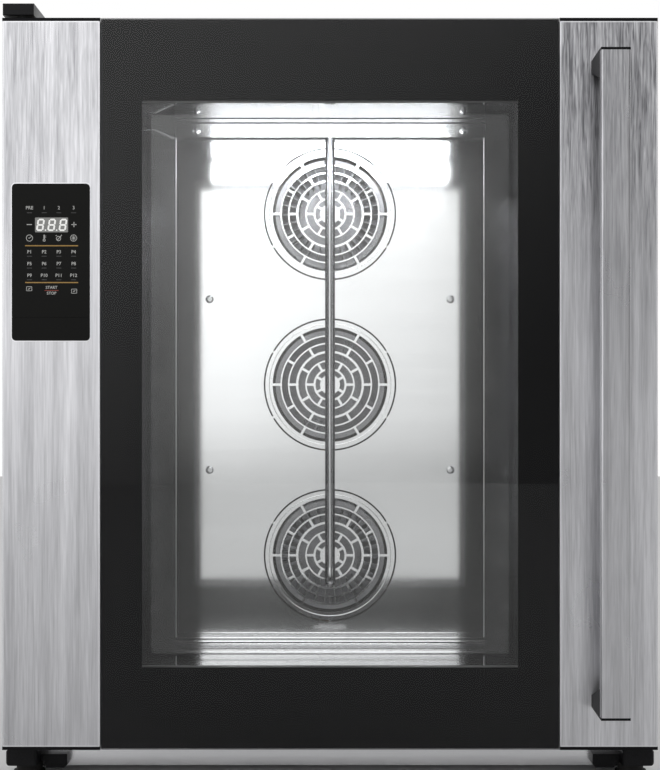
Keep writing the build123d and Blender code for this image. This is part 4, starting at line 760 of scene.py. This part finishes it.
def join(name, pieces, material, body, angle=30):
    """One finished piece from several, with outward faces, a finish and a body to ride on."""
    clean_start()
    for piece in pieces:
        piece.select_set(True)
    bpy.context.view_layer.objects.active = pieces[0]
    if len(pieces) > 1:
        bpy.ops.object.join()
    whole = bpy.context.object
    whole.name = whole.data.name = name
    shape(whole)
    bpy.ops.mesh.normals_make_consistent(inside=False)
    bpy.ops.object.mode_set(mode="OBJECT")
    bpy.ops.object.shade_smooth_by_angle(angle=radians(angle))
    dress(whole, material)
    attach(whole, body)
    return whole


def copy_of(piece, offset):
    """A copy with its own mesh, moved by an offset."""
    clean_start()
    twin = piece.copy()
    twin.data = piece.data.copy()
    bpy.context.collection.objects.link(twin)
    twin.location = offset
    return settle(twin)


# %% [markdown]
# The black surround of the window is ceramic ink, fired onto the back of the outer pane. It
# hides the door frame and leaves only the window clear. A thin sheet is cut along the four
# window edges, its middle is taken out and the rest is given a little thickness.
# %% Printed border of the outer pane
PANE_HALF, PANE_LOW, PANE_HIGH = 279.9, 40.4, 933.1
WINDOW_HALF, WINDOW_LOW, WINDOW_HIGH = 230.0, 140.0, 833.0
INK_FRONT, INK_BACK = 6.5, 6.8


def printed_border():
    """A flat frame of ink with the window left open."""
    ink = sheet(-PANE_HALF, PANE_HALF, PANE_LOW, PANE_HIGH, INK_FRONT)
    shape(ink)
    for spot, normal in ((at(WINDOW_HALF, 0, 0), (1, 0, 0)), (at(-WINDOW_HALF, 0, 0), (1, 0, 0)),
                         (at(0, 0, WINDOW_LOW), (0, 0, 1)), (at(0, 0, WINDOW_HIGH), (0, 0, 1))):
        bpy.ops.mesh.select_all(action="SELECT")
        bpy.ops.mesh.bisect(plane_co=spot, plane_no=normal)
    pick(ink, "faces", lambda c, n: abs(c.x) < WINDOW_HALF * MM
         and WINDOW_LOW * MM < c.z < WINDOW_HIGH * MM)
    bpy.ops.mesh.delete(type="FACE")
    thicken(INK_BACK - INK_FRONT)
    return ink


INK = moulded_finish("fired_ink", (0.0035, 0.0035, 0.0040), (0.0050, 0.0050, 0.0055),
                     (0.55, 0.65), 900, 0.000005, 0.0)
border = join("printed_border", [printed_border()], INK, DOOR)
print("border faces:", len(border.data.polygons))

# %% [markdown]
# The control panel is a black film with everything printed on it in pale grey, except for the
# three figures, which are lit from behind. Letters start as text and become mesh; small signs
# are cut from discs and bars. All of it lies on the panel's face, a tenth of a millimetre proud,
# so that it catches no light of its own.
# %% Bars, letters and rings of the print
PANEL_FACE = -1.6
PRINT_FRONT = PANEL_FACE - 0.12
PRINT_BACK = PANEL_FACE - 0.01


def bar(x, z, wide, tall, turn=0.0, tip=0.0):
    """A flat bar on the panel, turned by degrees, with its short ends pointed by tip."""
    piece = block(at(-wide / 2, PRINT_FRONT, -tall / 2), at(wide / 2, PRINT_BACK, tall / 2))
    if tip:
        soften(piece, lambda c, e: abs(e.y) > abs(e.x) + abs(e.z)
               and abs(c.z) > 0.4 * tall * MM, tip, 1)
    piece.rotation_euler = (0, radians(turn), 0)
    piece.location = (x * MM, 0, z * MM)
    return settle(piece)


def letters(text, x, z, size):
    """Text of that height, centred on its place."""
    clean_start()
    bpy.ops.object.text_add(rotation=(radians(90), 0, 0))
    piece = bpy.context.object
    piece.data.body = text
    piece.data.size = size * MM
    piece.data.align_x = "CENTER"
    piece.data.align_y = "CENTER"
    piece.data.extrude = (PRINT_BACK - PRINT_FRONT) / 2 * MM
    piece.data.offset = 0.00007
    piece.data.resolution_u = 3
    bpy.ops.object.convert(target="MESH")
    piece = bpy.context.object
    piece.location = at(x, (PRINT_FRONT + PRINT_BACK) / 2, z)
    return settle(piece)


def ring(x, z, radius, line):
    """A flat ring of that outer radius and line width."""
    piece = disc(at(x, PRINT_FRONT, z), radius, 28)
    shape(piece)
    hollow(line, PRINT_BACK - PRINT_FRONT)
    return piece


def print_finish(name, colour, glow=0.0):
    """Flat printing ink whose edge is a little uneven; glow lights it from behind."""
    material, shader = new_finish(name, Roughness=0.5, Emission_Strength=glow)
    tree = material.node_tree
    mottle = add_node(tree, "ShaderNodeTexNoise", Scale=2500.0, Detail=2.0)
    wire(tree, place_of(tree), mottle.inputs["Vector"])
    dim = [0.82 * c for c in colour]
    tint(tree, shader, mottle.outputs["Fac"], dim, colour)
    dull_by(tree, shader, 60.0, 0.42, 0.56)
    if glow:
        shader.inputs["Emission Color"].default_value = (*colour, 1.0)
    return material


PALE_INK = print_finish("pale_ink", (0.62, 0.62, 0.60))
DIM_INK = print_finish("dim_ink", (0.055, 0.055, 0.055))
AMBER_INK = print_finish("amber_ink", (0.46, 0.27, 0.07))
RED_INK = print_finish("red_ink", (0.32, 0.05, 0.03))
print("print stands", round(PANEL_FACE - PRINT_FRONT, 3), "mm proud of the panel")

# %% [markdown]
# The legends stand in four columns. The top row names the preheating and the three steps, the
# twelve store keys below it are P1 to P12, and START and STOP share the last row. Each has a
# small unlit lamp under it. These are plain words, as any such oven has them.
# %% Legends of the panel
COLUMNS = (-366.4, -348.5, -330.6, -312.6)
LETTER = 5.7

legends = []
lamps = []
for x, text in zip(COLUMNS, ("PRE", "1", "2", "3")):
    legends.append(letters(text, x, 701.3, LETTER))
    lamps.append(bar(x, 695.4, 6.0, 0.8))
for row, z in enumerate((647.6, 633.2, 618.9)):
    for column, x in enumerate(COLUMNS):
        legends.append(letters("P" + str(4 * row + column + 1), x, z, LETTER))
        lamps.append(bar(x, z - 5.2, 6.0, 0.8))
legends.append(letters("START", -339.5, 604.2, 0.85 * LETTER))
legends.append(letters("STOP", -339.5, 597.2, 0.85 * LETTER))
legends.append(bar(-366.6, 681.0, 6.2, 1.0))
legends.append(bar(-312.2, 681.0, 6.2, 1.0))
legends.append(bar(-312.2, 681.0, 1.0, 6.2))
print(len(legends), "legends,", len(lamps), "small lamps")

# %% [markdown]
# Four signs stand for time, heat, steam and fan speed: a clock with its hand, a thermometer, a
# struck drop and a fan wheel. Beside START and STOP stand two small boxes with a tick. Each sign
# is a ring or two and a few bars, drawn for this oven.
# %% Signs of the panel
SIGN_ROW = 664.6
BOX_TALL, BOX_WIDE, BOX_LINE = 5.0, 6.4, 0.6
time_x, heat_x, steam_x, fan_x = COLUMNS
signs = [ring(time_x, SIGN_ROW, 4.2, 0.7), bar(time_x + 1.1, SIGN_ROW + 0.9, 3.4, 0.7, -40),
         bar(time_x - 0.6, SIGN_ROW - 0.2, 1.8, 0.7, 30)]
signs += [ring(heat_x, SIGN_ROW - 2.6, 1.7, 0.8), bar(heat_x, SIGN_ROW + 1.2, 1.5, 5.6),
          bar(heat_x + 1.7, SIGN_ROW + 2.4, 1.2, 0.6), bar(heat_x + 1.7, SIGN_ROW + 0.8, 1.2, 0.6)]
signs += [ring(steam_x - 0.4, SIGN_ROW - 0.6, 3.0, 0.7),
          bar(steam_x + 0.9, SIGN_ROW + 0.7, 8.2, 0.8, -48),
          bar(steam_x - 3.2, SIGN_ROW + 3.0, 2.0, 0.6, -20)]
signs += [ring(fan_x, SIGN_ROW, 4.2, 0.6), ring(fan_x, SIGN_ROW, 1.2, 0.6)]
for turn in range(0, 180, 45):
    signs.append(bar(fan_x, SIGN_ROW, 6.6, 0.5, turn))
for x, z in ((-366.8, 602.8), (-312.0, 599.8)):
    for side in (1, -1):
        signs.append(bar(x, z + side * BOX_TALL / 2, BOX_WIDE, BOX_LINE))
        signs.append(bar(x - side * BOX_WIDE / 2, z, BOX_LINE, BOX_TALL))
    signs += [bar(x, z, 3.6, 0.7, -35), bar(x, z, 1.8, 0.7, 55)]
print(len(signs), "strokes in the signs")

panel_print = join("panel_print", legends + signs, PALE_INK, DOOR)
panel_lamps = join("panel_lamps", lamps, DIM_INK, DOOR)
panel_lines = join("panel_lines", [bar(-339.4, 655.2, 64.6, 1.3), bar(-339.4, 610.3, 64.6, 1.3)],
                   AMBER_INK, DOOR)
start_line = join("start_line", [bar(-339.5, 600.7, 17.0, 0.8)], RED_INK, DOOR)

# %% [markdown]
# The figures sit behind a pale grey window in the film. A figure has seven bars. The uprights
# lean by nine degrees, and the level bars shift sideways with them, so no bar has to be bent out
# of shape. The same few lines draw all three figures.
# %% Display with three lit figures
LEAN, LEAN_SLOPE = 9.0, 0.158
FIGURE_TALL, FIGURE_WIDE, STROKE = 12.9, 6.9, 2.0


def figure(x, z):
    """Seven pointed bars that make an eight."""
    half = FIGURE_TALL / 2
    shift = half * LEAN_SLOPE
    strokes = []
    for level, lean in ((half, shift), (0.0, 0.0), (-half, -shift)):
        strokes.append(bar(x + lean, z + level, FIGURE_WIDE - 1.0, STROKE, 0.0, 0.6))
    for side in (-1, 1):
        for level in (-1, 1):
            across = side * FIGURE_WIDE / 2 + level * shift / 2
            strokes.append(bar(x + across, z + level * half / 2, STROKE, half - 0.7, LEAN, 0.6))
    return strokes


def through(centre, edge):
    """True for the edges that run from front to back."""
    return abs(edge.y) > abs(edge.x) + abs(edge.z)


plate = block(at(-359.6, PANEL_FACE - 0.06, 671.6), at(-319.4, PANEL_FACE - 0.005, 689.6))
GREY_WINDOW = print_finish("display_window", (0.33, 0.33, 0.32))
display = join("display_window", [soften(plate, through, 1.0, 3)], GREY_WINDOW, DOOR)
seam = block(at(-387.6, -0.5, 566.6), at(-293.4, -0.02, 569.4))
panel_backing = join("panel_backing", [soften(seam, through, 0.3, 1)],
                     finishes["black_plastic"], DOOR)

figures = []
for x in (-353.0, -339.3, -325.6):
    figures += figure(x, 680.6)
for x in (-346.9, -333.2):
    figures.append(bar(x, 674.2, 1.6, 1.6))
LIT = print_finish("lit_figures", (0.92, 0.92, 0.90), 0.35)
lit_figures = join("lit_figures", figures, LIT, DOOR)
print("display strokes:", len(figures))

# %% [markdown]
# A hairline of bright metal, a painted highlight, runs round the face of each column, where the
# sheet's folded edge catches the light, and another round the panel's cut-out. Each is a ring: a
# plane with its corners rounded, its rim inset, its middle taken out and the rest given a hair
# of height.
# %% Painted highlights on the folds round the columns and the panel
FOLD_LINE, FOLD_FRONT, FOLD_BACK = 1.1, -0.08, 0.3


def rim(left, right, low, high, corner):
    """A flat ring with rounded corners, a fold's line wide, that paints the fold's highlight."""
    fold = sheet(left, right, low, high, FOLD_FRONT)
    shape(fold)
    bpy.ops.mesh.bevel(offset=corner * MM, segments=5, affect="VERTICES")
    bpy.ops.mesh.select_mode(type="FACE")
    bpy.ops.mesh.select_all(action="SELECT")
    hollow(FOLD_LINE, FOLD_BACK - FOLD_FRONT)
    return fold


# A brighter steel whose strips paint the highlights along the folds.
EDGE_HIGHLIGHT_STEEL = steel_finish("painted_edge_highlight", (200, 200, 200), grey(0.66, 0.02), grey(0.74, 0.02),
                        (0.30, 0.40), 0.000002)
edges = []
for side in (-1, 1):
    left, right = sorted((side * 399.4, side * 281.2))
    edges.append(rim(left, right, 44.3, 929.2, 0.6))
edges.append(rim(-389.2, -291.8, 538.2, 732.3, 5.5))
fold_highlights = join("fold_highlights", edges, EDGE_HIGHLIGHT_STEEL, DOOR)
print("folds:", len(edges))

# %% [markdown]
# The guard hangs on four domed screws, and two more hold the rail above it. Seen through the
# window they are bright rings with a dark cross. A short cylinder gets its rim bevelled into a
# dome, and a cross of two blocks is cut out of it. One screw is made for the guard and a flatter
# one for the rail, and both are copied to their places.
# %% Domed screws with a cross recess
HEAD_RADIUS, SHANK_RADIUS = 6.0, 3.0


CROSS_HALF, CROSS_LINE = 3.0, 0.6
SHANK = 13.2


def rim_at(deep):
    """A test for the edges of a lying rod's end at that depth."""
    level = at(0, deep, 0)[1]
    return lambda c, e: abs(c.y - level) < 1e-5 and abs(e.y) < 1e-6


def domed_screw(face, tall):
    """A screw at the oven's middle axis whose head, that tall, stands on the given depth."""
    head = rod(at(0, face - tall / 2, 0), HEAD_RADIUS, tall, 28)
    soften(head, rim_at(face - tall), 0.7 * tall, 4)
    for wide, high in ((CROSS_HALF, CROSS_LINE), (CROSS_LINE, CROSS_HALF)):
        tool = block(at(-wide, face - tall - 1, -high), at(wide, face - 0.45 * tall, high))
        take(head)
        cut = head.modifiers.new("cross", "BOOLEAN")
        cut.operation = "DIFFERENCE"
        cut.object = tool
        bpy.ops.object.modifier_apply(modifier=cut.name)
        bpy.data.objects.remove(tool)
    stem = rod(at(0, face + SHANK / 2, 0), SHANK_RADIUS, SHANK, 16)
    return [head, soften(stem, rim_at(face + SHANK), 0.6, 1)]


GUARD_FACE, RAIL_FACE = 513.0, 494.8
guard_places = [(x, z) for x in (-181.0, 181.0) for z in (357.75, 614.25)]
rail_places = [(x, 865.0) for x in (-199.0, 199.0)]
screws = []
for master, places in ((domed_screw(GUARD_FACE, 3.0), guard_places),
                       (domed_screw(RAIL_FACE, 2.0), rail_places)):
    for x, z in places:
        screws += [copy_of(piece, (x * MM, 0.0, z * MM)) for piece in master]
    for piece in master:
        bpy.data.objects.remove(piece)
# A brighter copy of the fastener steel: painted highlights on the screw heads.
BRIGHT_FASTENER = steel_finish("bright_fastener", (300, 300, 300), grey(0.66), grey(0.78),
                               (0.12, 0.20), 0.000004)
guard_screws = join("guard_screws_dressed", screws, BRIGHT_FASTENER, OVEN)
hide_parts("guard_screws")
print("screws:", len(guard_places + rail_places), "faces:", len(guard_screws.data.polygons))

# %% [markdown]
# Two pressed lines run across the guard, one below its top edge and one above its foot, and a
# pressed ring goes round each grille. A pressed line is a shallow round bead, bright on its upper
# flank and dark on the lower one. A thin strip with its front edges bevelled gives that, and a
# thin ring does it for the grilles. A dark bead of the same shape on the rail paints the shadow
# line below its top edge.
# %% Pressed lines of the guard and the rail
BURIED = 0.2
LINE_HALF = 230.5


def pressed_line(half, z, face, tall, proud):
    """A shallow bead from side to side."""
    strip = block(at(-half, face - proud, z - tall / 2), at(half, face + BURIED, z + tall / 2))
    front = at(0, face - proud, 0)[1]
    return soften(strip, lambda c, e: abs(c.y - front) < 1e-5 and abs(e.x) > 0.1,
                  0.9 * proud, 3)


def pressed_ring(height, radius, wide, proud):
    """A shallow round bead about a grille."""
    piece = disc(at(0, GUARD_FACE + BURIED, height), radius, 72)
    shape(piece)
    hollow(wide, -(proud + BURIED))
    front = at(0, GUARD_FACE - proud, 0)[1]
    return soften(piece, lambda c, e: abs(c.y - front) < 1e-5 and e.length > 0.003,
                  0.8 * proud, 2)


lines = [pressed_line(LINE_HALF, z, GUARD_FACE, 2.4, 0.9) for z in (851.6, 112.5)]
lines += [pressed_ring(z, 91.8, 1.2, 0.35) for z in (742.5, 486.0, 229.5)]
pressed_lines = join("pressed_lines", lines, GUARD_STEEL, OVEN)
# A dark bead that paints the shadow line below the rail's top edge.
SHADOW_BEAD = moulded_finish("painted_shadow_bead", grey(0.02, 0.0), grey(0.03, 0.0), (0.5, 0.6), 500, 0.00002)
shadow_line = join("rail_shadow_line", [pressed_line(231.0, 876.6, RAIL_FACE, 2.2, 0.8)], SHADOW_BEAD, OVEN)
print("pressed lines and rings:", len(lines))

# %% [markdown]
# Below the guard a narrow strip stands on the cavity floor and hides the gap. It is folded from
# the same sheet, with one round bead along it that draws a bright line from side to side, and a
# dark joint stays open above it. The guard's upright edges are folds, and a thin strip of
# brighter steel on each paints its highlight.
# %% Strip under the guard and the painted highlights on its edges
STRIP_HALF = 231.8
FOLD_OUTER, FOLD_INNER = 231.95, 230.75


def foot_strip():
    """A strip on the floor with a round bead, and a second one that meets the guard."""
    strips = []
    for low, high, proud in ((92.15, 101.6, 0.4), (102.7, 106.2, 0.2)):
        strip = block(at(-STRIP_HALF, GUARD_FACE - proud, low),
                      at(STRIP_HALF, GUARD_FACE + 0.9, high))
        strips.append(soften(strip, lambda c, e: abs(e.x) > 0.1, 0.3, 2))
    return strips + [pressed_line(231.0, 95.9, GUARD_FACE - 0.4, 3.2, 1.4)]


guard_foot = join("guard_foot", foot_strip(), GUARD_STEEL, OVEN)
# Thin strips of the brighter steel paint the highlights of the guard's folded edges.
folds = []
for side in (-1, 1):
    left, right = sorted((side * FOLD_OUTER, side * FOLD_INNER))
    fold = block(at(left, GUARD_FACE - 0.15, 106.5), at(right, GUARD_FACE + 0.2, 857.2))
    folds.append(soften(fold, lambda c, e: abs(e.z) > 0.1, 0.12, 2))
guard_fold_highlights = join("guard_fold_highlights", folds, EDGE_HIGHLIGHT_STEEL, OVEN)
print("strip and folds:", len(guard_foot.data.polygons) + len(guard_fold_highlights.data.polygons), "faces")

# %% [markdown]
# The steam tube ends in a pressed-on sleeve, a little wider than the tube. A cylinder gets its
# two rims bevelled so that it catches a bright and a dark line where the tube goes in.
# %% End sleeve of the steam tube
SLEEVE_LOW, SLEEVE_HIGH, SLEEVE_RADIUS = 188.0, 213.0, 8.1
TUBE_DEEP = 504.0

sleeve = rod(at(0, TUBE_DEEP, (SLEEVE_LOW + SLEEVE_HIGH) / 2), SLEEVE_RADIUS,
             SLEEVE_HIGH - SLEEVE_LOW, 40, 0)
soften(sleeve, lambda c, e: abs(e.z) < 1e-6, 0.45, 3)
tube_sleeve = join("tube_sleeve", [sleeve], finishes["tube_steel"], OVEN)
print("sleeve faces:", len(tube_sleeve.data.polygons))
